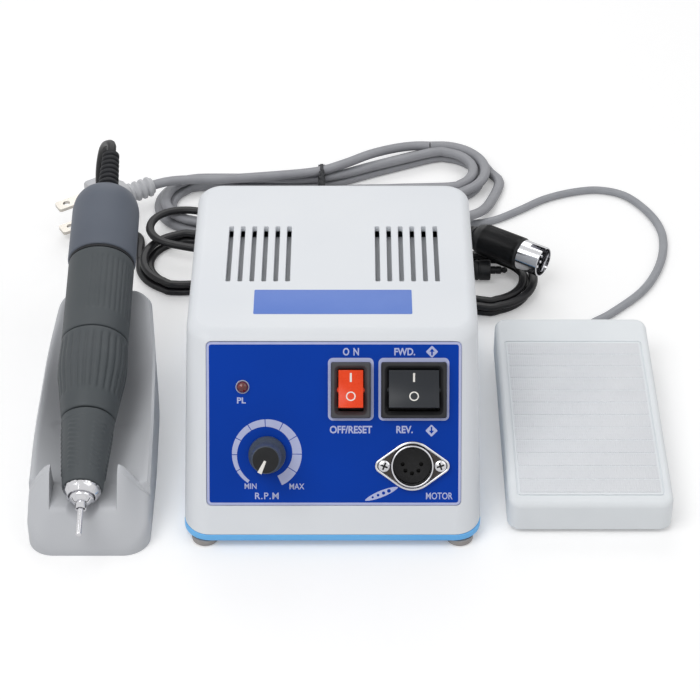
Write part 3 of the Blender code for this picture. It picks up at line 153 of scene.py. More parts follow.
def lathe(profile, steps=64, ring=False):
    # profile points are (radius, height); a ring's profile closes on itself
    bm = bmesh.new()
    verts = [bm.verts.new((radius, 0, height)) for radius, height in profile]
    edges = [bm.edges.new(pair) for pair in zip(verts, verts[1:])]
    if ring:
        edges.append(bm.edges.new((verts[-1], verts[0])))
    bmesh.ops.spin(bm, geom=verts + edges, cent=(0, 0, 0), axis=(0, 0, 1), angle=2 * pi, steps=steps,
                   use_merge=True)
    bmesh.ops.remove_doubles(bm, verts=bm.verts, dist=0.0005)
    bmesh.ops.recalc_face_normals(bm, faces=bm.faces)
    return bm


def disc(radius, low, high, rim=0.0, steps=48):
    profile = [(0, low), (radius, low)]
    profile += [(radius - rim * (1 - cos(k / 3 * pi / 2)),
                 high - rim * (1 - sin(k / 3 * pi / 2))) for k in range(4)]
    return lathe(profile + [(0, high)], steps)


def merged(*shapes):
    whole = bmesh.new()
    for shape in shapes:
        mesh = bpy.data.meshes.new("part")
        shape.to_mesh(mesh)
        shape.free()
        whole.from_mesh(mesh)
        bpy.data.meshes.remove(mesh)
    return whole


def draft(bm):
    bmesh.ops.remove_doubles(bm, verts=bm.verts, dist=0.0005)
    bmesh.ops.recalc_face_normals(bm, faces=bm.faces)
    mesh = bpy.data.meshes.new("draft")
    bm.to_mesh(mesh)
    bm.free()
    obj = bpy.data.objects.new("draft", mesh)
    bpy.context.scene.collection.objects.link(obj)
    return obj


def carved(bm, *cutters, operation="DIFFERENCE"):
    body = draft(bm)
    tools = [draft(cutter) for cutter in cutters]
    for tool in tools:
        cut = body.modifiers.new("cut", "BOOLEAN")
        cut.operation = operation
        cut.solver = "EXACT"
        cut.object = tool
    bpy.context.view_layer.update()
    result = bmesh.new()
    result.from_object(body, bpy.context.evaluated_depsgraph_get())
    for obj in [body] + tools:
        mesh = obj.data
        bpy.data.objects.remove(obj)
        bpy.data.meshes.remove(mesh)
    bmesh.ops.dissolve_degenerate(result, edges=result.edges, dist=0.001)
    return result


def lettering(text, size, thickness, weight, spread):
    curve = bpy.data.curves.new("lettering", "FONT")
    curve.body = text
    curve.size = size
    curve.align_x = "CENTER"
    curve.align_y = "CENTER"
    curve.extrude = thickness / 2
    curve.offset = weight
    curve.space_character = spread
    curve.resolution_u = 4
    obj = bpy.data.objects.new("lettering", curve)
    bpy.context.scene.collection.objects.link(obj)
    bpy.context.view_layer.update()
    mesh = bpy.data.meshes.new_from_object(obj.evaluated_get(bpy.context.evaluated_depsgraph_get()))
    bm = bmesh.new()
    bm.from_mesh(mesh)
    bpy.data.meshes.remove(mesh)
    bpy.data.objects.remove(obj)
    bpy.data.curves.remove(curve)
    bmesh.ops.remove_doubles(bm, verts=bm.verts, dist=0.0005)
    return bm


def sweep(points, outline):
    # carries a closed outline of (side, up) points along a path; its flat settles level where the path allows
    bm = bmesh.new()
    bmesh.ops.create_circle(bm, cap_ends=False, radius=1, segments=len(outline))
    ring = list(bm.verts)
    edges = list(bm.edges)
    firstRing = list(edges)
    side = None
    last = len(points) - 1
    for k, point in enumerate(points):
        heading = (points[min(k + 1, last)] - points[max(k - 1, 0)]).normalized()
        level = Vector((0, 0, 1)).cross(heading)
        if side is None:
            side = level if level.length > 0.05 else Vector((1, 0, 0))
        side = (side - heading * side.dot(heading)).normalized()
        if level.length > 0.2:
            level.normalize()
            if level.dot(side) < 0:
                level.negate()
            side = side.lerp(level, 0.35 * (1 - abs(heading.z)) ** 0.5).normalized()
            side = (side - heading * side.dot(heading)).normalized()
        lift = heading.cross(side)
        if k:
            grown = bmesh.ops.extrude_edge_only(bm, edges=edges)["geom"]
            fresh = {part for part in grown if isinstance(part, bmesh.types.BMVert)}
            above = {edge.other_vert(vert): vert for vert in fresh for edge in vert.link_edges}
            ring = [above[vert] for vert in ring]
            edges = [part for part in grown if isinstance(part,
                                                          bmesh.types.BMEdge) and set(part.verts) <= fresh]
        for vert, (a, b) in zip(ring, outline):
            vert.co = point + side * a + lift * b
    bmesh.ops.holes_fill(bm, edges=firstRing, sides=0)
    bmesh.ops.holes_fill(bm, edges=edges, sides=0)
    bmesh.ops.recalc_face_normals(bm, faces=bm.faces)
    return bm


def twinOutline(width, thickness):
    # two cores side by side under one sheath, with a shallow groove along the middle of each flat
    radius = thickness / 2
    half = arc(width / 2 - radius, 0, radius, -90, 90, 6)
    dip = radius * (1 - cords["grooveShare"])
    return half + [(0, dip)] + [(-x, -y) for x, y in half] + [(0, -dip)]


def smoothed(points, step):
    # points about a step apart on a smooth curve through a route's own points
    points = [Vector(p) for p in points]
    padded = [2 * points[0] - points[1]] + points + [2 * points[-1] - points[-2]]
    route = []
    for a, b, c, d in zip(padded, padded[1:], padded[2:], padded[3:]):
        pieces = max(1, round((c - b).length / step))
        for k in range(pieces):
            t = k / pieces
            route.append(0.5 * (2 * b + (c - a) * t + (2 * a - 5 * b + 4 * c - d) * t ** 2
                                + (3 * b - 3 * c + d - a) * t ** 3))
    route.append(points[-1])
    return route


def pathLength(points):
    return sum((b - a).length for a, b in zip(points, points[1:]))


def ease(share):
    share = min(1, max(0, share))
    return share * share * (3 - 2 * share)


def arc(across, along, radius, start, end, steps=4):
    # points of a round stretch, angles in degrees
    turns = [radians(start + (end - start) * k / steps) for k in range(steps + 1)]
    return [(across + radius * cos(a), along + radius * sin(a)) for a in turns]


def prism(points, low, high):
    # a closed outline of (x, y) points, extruded
    bm = bmesh.new()
    bm.faces.new([bm.verts.new((x, y, 0)) for x, y in points])
    return moved(raiseFaces(bm, high - low), z=low)


def stacked(rows):
    # a solid through outlines of (x, y, z) points, with as many points in each
    bm = bmesh.new()
    verts = [bm.verts.new(point) for point in rows[0]]
    top = [bm.faces.new(verts)]
    for k, row in enumerate(rows[1:]):
        raised = bmesh.ops.extrude_face_region(bm, geom=top)["geom"]
        if k:
            bmesh.ops.delete(bm, geom=top, context="FACES_ONLY")
        top = [part for part in raised if isinstance(part, bmesh.types.BMFace)]
        for vert, point in zip([loop.vert for loop in top[0].loops], row):
            vert.co = point
    bmesh.ops.recalc_face_normals(bm, faces=bm.faces)
    return bm


def roundedOutline(width, height, corner, steps=6):
    x, y = width / 2 - corner, height / 2 - corner
    return (arc(x, y, corner, 0, 90, steps) + arc(-x, y, corner, 90, 180, steps)
            + arc(-x, -y, corner, 180, 270, steps) + arc(x, -y, corner, 270, 360, steps))


def grown(width, height, corner, profile, steps=6):
    # a rounded plate whose outline grows with height; profile points are (level, growth)
    rows = []
    for level, growth in profile:
        outline = roundedOutline(width + 2 * growth, height + 2 * growth, max(0.05, corner + growth), steps)
        rows.append([(x, y, level) for x, y in outline])
    return stacked(rows)


def limitsOf(spots):
    return [Vector([pick(spot[k] for spot in spots) for k in range(3)]) for pick in (min, max)]


def spotsOf(node, place):
    # a node's lowest and highest corners in another frame
    inside = place.inverted()
    return limitsOf([inside @ (vert.co / mm) for vert in frame["nodes"][node].data.vertices])


# Finishes: shader maths is written as plain sums

class Wire:
    # one output of a node, ready to be used in a sum
    def __init__(self, finish, socket):
        self.finish = finish
        self.socket = socket

    def join(self, operation, *values):
        return self.finish.node("ShaderNodeMath", {"operation": operation}, dict(enumerate(values)))

    def __add__(self, other):
        return self.join("ADD", self, other)

    def __sub__(self, other):
        return self.join("SUBTRACT", self, other)

    def __rsub__(self, other):
        return self.join("SUBTRACT", other, self)

    def __mul__(self, other):
        return self.join("MULTIPLY", self, other)

    def __lt__(self, other):
        return self.join("LESS_THAN", self, other)

    def wave(self):
        return self.join("SINE", self)

    __radd__ = __add__
    __rmul__ = __mul__


def tint(code):
    # a hex colour as the linear values that a shader takes
    channels = [int(code[k:k + 2], 16) / 255 for k in (0, 2, 4)]
    return tuple(c / 12.92 if c <= 0.04045 else ((c + 0.055) / 1.055) ** 2.4 for c in channels) + (1,)


class Finish:
    def __init__(self, name, colour, roughness, metallic=0.0):
        self.material = bpy.data.materials.new(name)
        self.material.use_nodes = True
        self.tree = self.material.node_tree
        self.shader = self.tree.nodes["Principled BSDF"]
        self.colour = tint(colour)
        self.roughness = roughness
        self.give("Base Color", self.colour)
        self.give("Roughness", roughness)
        self.give("Metallic", metallic)
        self.give("Specular IOR Level", 0.5 if metallic else 0.28)
        self.coordinates = None

    def give(self, socketName, value):
        socket = self.shader.inputs[socketName]
        if isinstance(value, Wire):
            self.tree.links.new(value.socket, socket)
        else:
            socket.default_value = value

    def node(self, kind, settings, inputs, output=0):
        node = self.tree.nodes.new(kind)
        for key, value in settings.items():
            if key == "stops":
                ramp = node.color_ramp
                for place, shade in value:
                    stop = ramp.elements.new(place)
                    stop.color = shade
                ramp.elements.remove(ramp.elements[0])
                ramp.elements.remove(ramp.elements[-1])
            else:
                setattr(node, key, value)
        for key, value in inputs.items():
            if isinstance(value, Wire):
                self.tree.links.new(value.socket, node.inputs[key])
            else:
                node.inputs[key].default_value = value
        return Wire(self, node.outputs[output])

    def place(self):
        # object coordinates, in metres
        if self.coordinates is None:
            self.coordinates = self.node("ShaderNodeTexCoord", {}, {}, "Object")
        return self.coordinates

    def along(self, axis):
        return self.node("ShaderNodeSeparateXYZ", {}, {0: self.place()}, axis)

    def grain(self, size, detail=2.0, stretch=(1, 1, 1)):
        # soft noise whose features are about this many millimetres across
        spot = self.node("ShaderNodeMapping", {}, {"Vector": self.place(), "Scale": stretch})
        return self.node("ShaderNodeTexNoise", {},
                         {"Vector": spot, "Scale": 1 / (size * mm), "Detail": detail})

    def mix(self, share, first, second):
        return self.node("ShaderNodeMix", {"data_type": "RGBA"}, {0: share, 6: first, 7: second}, 2)

    def relief(self, height, depth):
        # depth in millimetres between height 0 and 1
        self.give("Normal", self.node("ShaderNodeBump", {},
                                      {"Height": height, "Distance": depth * mm, "Strength": 1.0}))

    def vary(self, size, other, amount, detail=3.0):
        # clouds of a second tint over the first
        stops = ((0.35, (0, 0, 0, 1)), (0.7, (amount, amount, amount, 1)))
        share = self.node("ShaderNodeValToRGB", {"stops": stops}, {0: self.grain(size, detail)})
        self.give("Base Color", self.mix(share, self.colour, tint(other)))
        return self

    def rub(self, size, spread):
        # patches of more and less gloss
        self.give("Roughness", (self.grain(size, 4.0) - 0.5) * (2 * spread) + self.roughness)
        return self


# slot: name, colour, roughness, metallic, then clouds (size, colour, amount), gloss (size, spread) and grain
# (size, detail, depth), sizes in millimetres
plainFinishes = {
    "white_plastic": ("moulded shell white", "E4E7EB", 0.40, 0, (60, "DCE0E6", 0.6), (25, 0.05),
                      (0.55, 3, 0.012)),
    "blue_plastic": ("base strip blue", "78C4FC", 0.38, 0, (30, "6AB6F6", 0.5), (12, 0.05), (0.5, 3, 0.01)),
    "blue_panel": ("label blue", "003CA8", 0.33, 0, (45, "00379A", 0.6), (18, 0.04), (0.3, 2, 0.004)),
    "print": ("label print", "B9BFE2", 0.45, 0, (4, "AEB5DC", 0.5), None, None),
    "sticker": ("sticker blue", "5A7CCB", 0.36, 0, (16, "6384D0", 0.6), (9, 0.04), None),
    "mark": ("rocker mark white", "F2EFEA", 0.4, 0, (2, "DAD6CF", 0.4), None, None),
    "black_plastic": ("black moulding", "232426", 0.36, 0, (7, "1B1C1E", 0.7), (5, 0.07), (0.25, 3, 0.006)),
    "power_bezel": ("power bezel grey", "4B4B4E", 0.42, 0, (6, "424245", 0.6), (4, 0.06), (0.22, 3, 0.006)),
    "direction_bezel": ("direction bezel black", "2F2F31", 0.42, 0, (6, "28282A", 0.6), (4, 0.06),
                        (0.22, 3, 0.006)),
    "direction_key": ("rocker charcoal", "2B2E33", 0.34, 0, (8, "25282D", 0.5), (4, 0.05), (0.2, 2, 0.004)),
    "red_rocker": ("rocker orange red", "F2481B", 0.27, 0, (5, "E83F14", 0.6), (3, 0.04), None),
    "red_lens": ("lamp red", "4A0606", 0.08, 0, (1.5, "8A120E", 0.7), None, None),
    "knob_skirt": ("knob slate", "464E5A", 0.36, 0, (5, "3A414C", 0.6), (3, 0.05), None),
    "knob_face": ("knob face black", "1A1B1D", 0.3, 0, (4, "232427", 0.6), (3, 0.06), None),
    # painted reflection: a pale flat grey standing in for the bright edge that a chrome collar reflects
    "collar": ("lamp collar with painted reflection", "B9BFD0", 0.3, 0, (2, "8F96B0", 0.6), None, None),
    "screen": ("vent screen grey", "BEC0C3", 0.6, 0, (12, "B2B4B8", 0.6), (6, 0.05), None),
    "black_rubber": ("boot rubber", "222326", 0.55, 0, (6, "2B2C30", 0.6), (3, 0.06), (0.3, 3, 0.012)),
    "grey_rubber": ("foot rubber", "A5A09E", 0.62, 0, (4, "938F8D", 0.6), (3, 0.06), (0.3, 3, 0.012)),
    "chrome": ("polished chrome", "D9D9DC", 0.13, 1, None, (6, 0.05), (3, 2, 0.003)),
    # painted reflection: a dark metal tint standing in for the dark surroundings mirrored in the socket's chrome
    # recess
    "dark_metal": ("metal with painted reflection", "4A4542", 0.4, 0.7, (3, "35312F", 0.7), (3, 0.08), None),
    # the socket insert's own black, also used as painted shadow in the screw heads' cross recesses
    "socket_black": ("socket black and painted shadow", "131314", 0.4, 0, (2, "1B1B1D", 0.6), (2, 0.06), None),
    "steel": ("turned steel", "A9AAAD", 0.27, 1, None, (3, 0.08), (0.5, 2, 0.003, (1, 0.1, 1))),
    "blade": ("plated blade", "CFCAC2", 0.25, 1, None, (4, 0.08), (0.8, 3, 0.004)),
    "grip_grey": ("sleeve grey", "4A4F52", 0.50, 0, (14, "515558", 0.6, 4), (7, 0.06), (0.35, 3, 0.010)),
    "rear_grey": ("rear sleeve blue grey", "5D636E", 0.47, 0, (22, "656B76", 0.6), (9, 0.05),
                  (0.4, 3, 0.010)),
    "cradle_grey": ("cradle grey", "C3C5C9", 0.44, 0, (35, "BBBDC2", 0.6), (15, 0.05), (0.5, 3, 0.012)),
    "pedal_grey": ("pedal grey", "E9EDF0", 0.46, 0, (28, "E1E5E9", 0.6), (11, 0.05), (0.5, 3, 0.012)),
    "pedal_pad": ("pedal pad grey", "E4E6EA", 0.5, 0, (28, "DCDFE4", 0.6), (11, 0.05), None),
    "cord_grey": ("grey sheath", "9B9CA1", 0.42, 0, (9, "8F9095", 0.6), (6, 0.06), (0.6, 3, 0.02)),
    "pale_cord": ("pale sheath", "9C9EA3", 0.42, 0, (9, "909298", 0.6), (6, 0.06), (0.6, 3, 0.02)),
    "cord_black": ("black sheath", "1D1D1F", 0.33, 0, (8, "27272A", 0.6), (5, 0.07), (0.5, 3, 0.015)),
    "tie": ("paper tie", "3A3B3E", 0.6, 0, (2, "2A2B2D", 0.7), None, (0.4, 3, 0.03)),
    "plug_grey": ("plug grey", "C9CACD", 0.44, 0, (10, "BFC0C4", 0.6), (6, 0.05), (0.4, 3, 0.01)),
    "copper": ("copper winding", "B4713C", 0.34, 1, None, None, None),
    "core_iron": ("core sheet iron", "6B6C70", 0.45, 0.8, None, None, None),
    "board_green": ("board lacquer", "1F6B36", 0.35, 0, None, None, None),
}
finishes = {}


def makeFinishes():
    for slot, (name, colour, roughness, metallic, clouds, gloss, texture) in plainFinishes.items():
        finish = finishes[slot] = Finish(name, colour, roughness, metallic)
        if clouds:
            finish.vary(*clouds)
        if gloss:
            finish.rub(*gloss)
        if texture:
            size, detail, depth, *stretch = texture
            finish.relief(finish.grain(size, detail, *stretch), depth)
    finishes["blue_panel"].give("Specular IOR Level", 0.12)
    finishes["red_lens"].give("Coat Weight", 1.0)
    finishes["red_lens"].give("Coat Roughness", 0.04)
    # turns of wire and stacked sheets, as waves along one axis, with painted shade darkening each groove between
    # turns and between sheets
    for slot, axis, pitch, depth, dark, light in (("copper", "Z", 0.7, 0.18, "7A4320", "C27C45"),
                                                  ("core_iron", "Y", 0.8, 0.08, "4C4D50", "7C7D81")):
        finish = finishes[slot]
        layers = (finish.along(axis) * (2 * pi / (pitch * mm))).wave() * 0.5 + 0.5
        finish.relief(layers, depth)
        finish.give("Base Color", finish.mix(layers, tint(dark), tint(light)))
    board = finishes["board_green"]
    cells = board.node("ShaderNodeTexVoronoi", {"feature": "DISTANCE_TO_EDGE"},
                       {"Vector": board.place(), "Scale": 1 / (4 * mm)})
    board.give("Base Color", board.mix(cells < 0.06, tint("1B5E2F"), tint("5B9A5A")))
    pad = finishes["pedal_pad"]
    hatch = ((pad.along("X") + pad.along("Y")) * (pi / (0.85 * mm))).wave()
    cross = ((pad.along("X") - pad.along("Y")) * (pi / (0.85 * mm))).wave()
    pad.relief(hatch * cross * 0.5 + 0.5, 0.14)


# Pieces of the object, each riding on a body of the frame

recordSlots = {material["slot"] for material in frame["record"]["materials"]}


def finishPiece(name, bm, look, body, place=None, stands=(), slot=None, crease=35, merge=0.001, even=False):
    if place is not None:
        bm.transform(place)
    bmesh.ops.remove_doubles(bm, verts=bm.verts, dist=merge)
    bmesh.ops.recalc_face_normals(bm, faces=bm.faces)
    bm.transform(Matrix.Scale(mm, 4))
    mesh = bpy.data.meshes.new(name)
    bm.to_mesh(mesh)
    bm.free()
    mesh.materials.append(finishes[look].material)
    mesh.shade_smooth()
    mesh.set_sharp_from_angle(angle=radians(crease))
    obj = bpy.data.objects.new(name, mesh)
    bpy.context.scene.collection.objects.link(obj)
    if even:
        weighted = obj.modifiers.new("even shading", "WEIGHTED_NORMAL")
        weighted.keep_sharp = True
    if body:
        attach(obj, body)
    if stands:
        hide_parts(*stands)
    slot or look in recordSlots
    return obj


def dressNodes():
    # every CAD node starts with the finish of its slot
    slots = {part["node"]: part["material_slot"] for part in frame["record"]["subparts"]}
    for name, node in frame["nodes"].items():
        node.data.materials.clear()
        node.data.materials.append(finishes[slots[name]].material)


# Camera, lights and floor

studio = {
    "cameraPlace": (-0.45, -689.5, 571.6),
    "cameraPitch": 38,       # degrees below level
    "viewAngle": 18.05,
    "worldStrength": 0.46,
    "worldSeen": 0.9,        # what the camera and the chrome see of it
    "lamps": (("key", (-420, -380, 900), 700, 4.4), ("fill", (600, -200, 700), 600, 0.9),
              ("back", (0, 700, 650), 600, 1.6)),        # place, size, power
    "aim": (0, 0, 20),
    "floorReach": 4000,
    "floorGlow": 0.2,
}


def makeStudio():
    scene = bpy.context.scene
    scene.view_settings.view_transform = "Standard"
    lens = bpy.data.cameras.new("camera")
    lens.sensor_width = 36
    lens.lens = lens.sensor_width / 2 / tan(radians(studio["viewAngle"]) / 2)
    lens.clip_start = 0.01
    lens.clip_end = 20
    camera = bpy.data.objects.new("camera", lens)
    camera.location = Vector(studio["cameraPlace"]) * mm
    camera.rotation_euler = (radians(90 - studio["cameraPitch"]), 0, 0)
    scene.collection.objects.link(camera)
    scene.camera = camera

    world = bpy.data.worlds.new("studio")
    scene.world = world
    world.use_nodes = True
    nodes = world.node_tree.nodes
    links = world.node_tree.links
    sky = nodes["Background"]
    sky.inputs["Color"].default_value = (1, 1, 1, 1)
    rays = nodes.new("ShaderNodeLightPath")
    seen = nodes.new("ShaderNodeMath")
    seen.operation = "MAXIMUM"
    links.new(rays.outputs["Is Camera Ray"], seen.inputs[0])
    links.new(rays.outputs["Is Glossy Ray"], seen.inputs[1])
    strength = nodes.new("ShaderNodeMapRange")
    links.new(seen.outputs[0], strength.inputs["Value"])
    strength.inputs["To Min"].default_value = studio["worldStrength"]
    strength.inputs["To Max"].default_value = studio["worldSeen"]
    links.new(strength.outputs["Result"], sky.inputs["Strength"])

    for name, place, size, power in studio["lamps"]:
        light = bpy.data.lights.new(name, "AREA")
        light.energy = power
        light.size = size * mm
        lamp = bpy.data.objects.new(name, light)
        lamp.location = Vector(place) * mm
        lamp.rotation_euler = (Vector(studio["aim"]) - Vector(place)).to_track_quat("-Z", "Y").to_euler()
        scene.collection.objects.link(lamp)

    paper = Finish("floor paper", "F4F4F4", 0.8)
    paper.vary(300, "F2F2F3", 0.5)
    bm = roundedFace(studio["floorReach"], studio["floorReach"], 10, 1)
    bm.transform(Matrix.Scale(mm, 4) @ Matrix.Translation((0, 0, -0.05)))
    mesh = bpy.data.meshes.new("floor")
    bm.to_mesh(mesh)
    bm.free()
    rays = paper.node("ShaderNodeLightPath", {}, {}, "Is Camera Ray")
    paper.give("Emission Color", (1, 1, 1, 1))
    paper.give("Emission Strength", rays * studio["floorGlow"])
    mesh.materials.append(paper.material)
    floor = bpy.data.objects.new("floor", mesh)
    scene.collection.objects.link(floor)


# Places that the pieces share

faceOut = -jointAxis("speed_turn")
faceRight = Vector((1, 0, 0))
faceUp = faceOut.cross(faceRight)
shellLow, shellHigh = cornersOf("console_shell")
baseLow, baseHigh = cornersOf("console_base")
unitX = (baseLow.x + baseHigh.x) / 2
gripAxis = jointAxis("spindle_spin")
gripStart = jointPlace("spindle_spin")
gripPlace = frameOf(faceRight, gripAxis.cross(faceRight), gripAxis, gripStart)
gripEnd = 167.3             # where the cord leaves the boot, along the axis

# Cords

cords = {
    "mainsWidth": 4.8, "motorWidth": 3.8, "pedalWidth": 3.8,
    "flatShare": 0.76,      # thickness of a twin cord, of its width
    "grooveShare": 0.12,    # depth of its groove, of half its thickness
    "turnGap": 0.7, "layerGap": 0.5, "tableGap": 0.1,
    "stepShare": 0.6,       # spacing of the rings, in widths
    "liftedZone": 30,       # a cord comes down from a raised end within this length
}


class Hank:
    # a cord folded to and fro, 24 steps to a loop: 8 round each fold and 4 along each run
    def __init__(self, left, right, fold, waist, width, start, layers):
        self.middle = (Vector(left) + Vector(right)) / 2
        span = Vector(right) - Vector(left)
        self.half = span.length / 2
        self.turn = atan2(span.y, span.x)
        self.fold = fold
        self.waist = waist
        self.pitch = width + cords["turnGap"]
        self.rise = width + cords["layerGap"]
        self.level = width / 2 + cords["tableGap"]
        self.start = start
        self.layers = layers

    def run(self, x, side, inset):
        wave = pi * x / self.half
        width = self.fold - (self.fold - self.waist) * (0.5 + 0.5 * cos(wave))
        lean = (self.fold - self.waist) * 0.5 * pi / self.half * sin(wave)
        length = hypot(1, lean)
        return x + lean / length * inset, side * (width - inset / length)

    def point(self, step, inset):
        step %= 24
        if step <= 8:
            angle = (step / 8 - 0.5) * pi
            x = self.half + (self.fold - inset) * cos(angle)
            y = (self.fold - inset) * sin(angle)
        elif step < 12:
            x, y = self.run(self.half - (step - 8) / 2 * self.half, 1, inset)
        elif step <= 20:
            angle = ((step - 12) / 8 + 0.5) * pi
            x = -self.half + (self.fold - inset) * cos(angle)
            y = (self.fold - inset) * sin(angle)
        else:
            x, y = self.run((step - 20) / 2 * self.half - self.half, -1, inset)
        return (self.middle.x + x * cos(self.turn) - y * sin(self.turn),
                self.middle.y + x * sin(self.turn) + y * cos(self.turn))

    def points(self):
        points = []
        step = self.start
        inset = 0
        for layer, steps in enumerate(self.layers):
            for _ in range(steps):
                points.append(Vector((*self.point(step, inset), self.level + layer * self.rise)))
                step += 1
                inset += (-1) ** layer * self.pitch / 24
            if layer < len(self.layers) - 1:
                for k in range(4):
                    points.append(Vector((*self.point(step, inset),
                                          self.level + (layer + ease(k / 4)) * self.rise)))
                    step += 1
        points.append(Vector((*self.point(step, inset), self.level + (len(self.layers) - 1) * self.rise)))
        return points


def stub(points, start, distance):
    a, b = (points[0], points[1]) if start else (points[-1], points[-2])
    return a + (a - b).normalized() * distance


def settled(points, raisedEnds):
    # a flat cord lies lower than a round one: it comes down away from its raised ends
    share = 1 - cords["flatShare"]
    lowered = []
    for point in points:
        near = min([(point - points[0]).length if raisedEnds[0] else 1e9,
                    (point - points[-1]).length if raisedEnds[1] else 1e9])
        drop = share * min(point.z, 14) * ease(near / cords["liftedZone"])
        lowered.append(Vector((point.x, point.y, point.z - drop)))
    return lowered


def scaled(points):
    return [Vector(p) / mm for p in points]


def layCord(name, route, width, look, raisedEnds, body):
    points = settled(smoothed(route, width * cords["stepShare"]), raisedEnds)
    bm = sweep(points, twinOutline(width, width * cords["flatShare"]))
    obj = finishPiece(name, bm, look, body, None, (name.replace("Cord", ""),), crease=60)
    return obj, [p * mm for p in points]


def makeCords():
    mainsWidth, motorWidth, pedalWidth = cords["mainsWidth"], cords["motorWidth"], cords["pedalWidth"]
    mains = Hank((-67, 147.2), (42, 170.3), 23.3, 12.4, mainsWidth, 4, (40, 32)).points()
    motor = Hank((-72, 102), (58, 87), 21.5, 7.6, motorWidth, 16, (28, 32)).points()
    pedal = Hank((-19, 125), (25, 129), 14.8, 14.0, pedalWidth, 12, (20, 20, 20, 32)).points()
    gland = cornersOf("mains_gland")
    glandEnd = Vector(((gland[0].x + gland[1].x) / 2, gland[1].y + 0.3, (gland[0].z + gland[1].z) / 2))
    mainsTail = [glandEnd] + scaled([
        (0.0255, 0.093, 0.0259), (0.030, 0.103, 0.025), (0.037, 0.112, 0.0225), (0.045, 0.1205, 0.0172),
        (0.053, 0.1295, 0.011), (0.0595, 0.139, 0.006), (0.064, 0.149, 0.0034)])
    mainsTail += [stub(mains, True, 10), stub(mains, True, 0.3)]
    mainsLead = [stub(mains, False, 0.3), stub(mains, False, 7)] + scaled([
        (0.021, 0.187, 0.0098), (0.009, 0.1785, 0.0126), (-0.003, 0.1695, 0.0134), (-0.0156, 0.163, 0.0134),
        (-0.035, 0.1595, 0.0134), (-0.0586, 0.1565, 0.0134), (-0.0718, 0.1548, 0.0134),
        (-0.0815, 0.1514, 0.0135),
        (-0.090, 0.1465, 0.0136)])
    bootEnd = gripStart + gripAxis * gripEnd
    motorLead = [bootEnd, bootEnd + gripAxis * 4.7] + scaled([
        (-0.1023, 0.0993, 0.0672), (-0.1058, 0.1068, 0.0615), (-0.1086, 0.111, 0.050),
        (-0.1098, 0.113, 0.036),
        (-0.110, 0.1154, 0.023), (-0.1094, 0.1189, 0.0135), (-0.1076, 0.123, 0.0072),
        (-0.1038, 0.1259, 0.0035),
        (-0.0995, 0.126, 0.0021), (-0.0958, 0.1234, 0.002), (-0.0942, 0.1186, 0.002)])
    motorLead += [stub(motor, True, 6), stub(motor, True, 0.3)]
    motorTail = [stub(motor, False, 0.3), stub(motor, False, 6)] + scaled([
        (0.038, 0.1074, 0.0084), (0.020, 0.1054, 0.0105), (0, 0.1044, 0.0105), (-0.020, 0.1044, 0.0105),
        (-0.038, 0.109, 0.011), (-0.049, 0.1175, 0.012), (-0.058, 0.126, 0.0129), (-0.070, 0.1315, 0.0129),
        (-0.081, 0.131, 0.0129), (-0.088, 0.1255, 0.0126), (-0.0895, 0.1175, 0.0116), (-0.084, 0.110, 0.0109),
        (-0.070, 0.105, 0.0106), (-0.045, 0.100, 0.0106), (-0.015, 0.097, 0.0106), (0.004, 0.097, 0.0107),
        (0.013, 0.0982, 0.0114), (0.021, 0.1014, 0.0142), (0.027, 0.1048, 0.0154), (0.034, 0.1095, 0.0162),
        (0.041, 0.1119, 0.0162), (0.0492, 0.1063, 0.016)])
    pedalGland = Vector((96.4, 43.66, 4.0))
    pedalLead = [pedalGland, pedalGland + Vector((0, pedalWidth, 0))] + scaled([
        (0.0985, 0.0525, 0.0026), (0.1035, 0.059, 0.002), (0.112, 0.066, 0.002), (0.1265, 0.0815, 0.002),
        (0.1352, 0.098, 0.002), (0.1396, 0.115, 0.002), (0.1396, 0.130, 0.002), (0.1348, 0.144, 0.002),
        (0.1262, 0.156, 0.002), (0.1146, 0.1605, 0.002), (0.102, 0.1586, 0.002), (0.089, 0.153, 0.002),
        (0.077, 0.144, 0.002), (0.065, 0.136, 0.002), (0.054, 0.1335, 0.002), (0.046, 0.138, 0.002),
        (0.037, 0.1436, 0.002), (0.025, 0.1467, 0.002), (0.008, 0.145, 0.002)])
    pedalLead += [stub(pedal, True, 10), stub(pedal, True, 0.3)]
    pedalTail = [stub(pedal, False, 0.3), stub(pedal, False, 6)] + scaled([
        (-0.004, 0.1063, 0.0154), (0.0025, 0.1023, 0.0156), (0.0075, 0.097, 0.0154), (0.013, 0.0928, 0.0136),
        (0.020, 0.0914, 0.0104), (0.028, 0.0915, 0.0074), (0.037, 0.092, 0.0056), (0.046, 0.093, 0.0047),
        (0.052, 0.0932, 0.0046)])
    groups = []
    for kind, look, routes in (
            ("mains", "cord_grey", (("tail", mainsTail), ("hank", mains), ("lead", mainsLead))),
            ("motor", "cord_black", (("lead", motorLead), ("hank", motor), ("tail", motorTail))),
            ("pedal", "pale_cord", (("lead", pedalLead), ("hank", pedal), ("tail", pedalTail)))):
        group = []
        for k, (part, route) in enumerate(routes):
            crossing = (kind, part) == ("motor", "lead")        # from the handpiece to the table
            group.append(layCord(f"{kind}_{part}Cord", route, cords[f"{kind}Width"], look, (k == 0, k == 2),
                                 None if crossing else "console"))
        groups.append(group)
    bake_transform(groups[1][0][0])
    return groups


def declareCords(groups, plugs):
    widths = (cords["mainsWidth"], cords["motorWidth"], cords["pedalWidth"])
    for group, farEnd, width, ended in zip(groups, ("plug", "connector", "plug"), widths, plugs):
        for k, (piece, path) in enumerate(group):
            last = k == len(group) - 1
            pathLength(path)
            width * mm
            "coiled" if k == 1 else "loose"


# Control unit: shell, base and feet

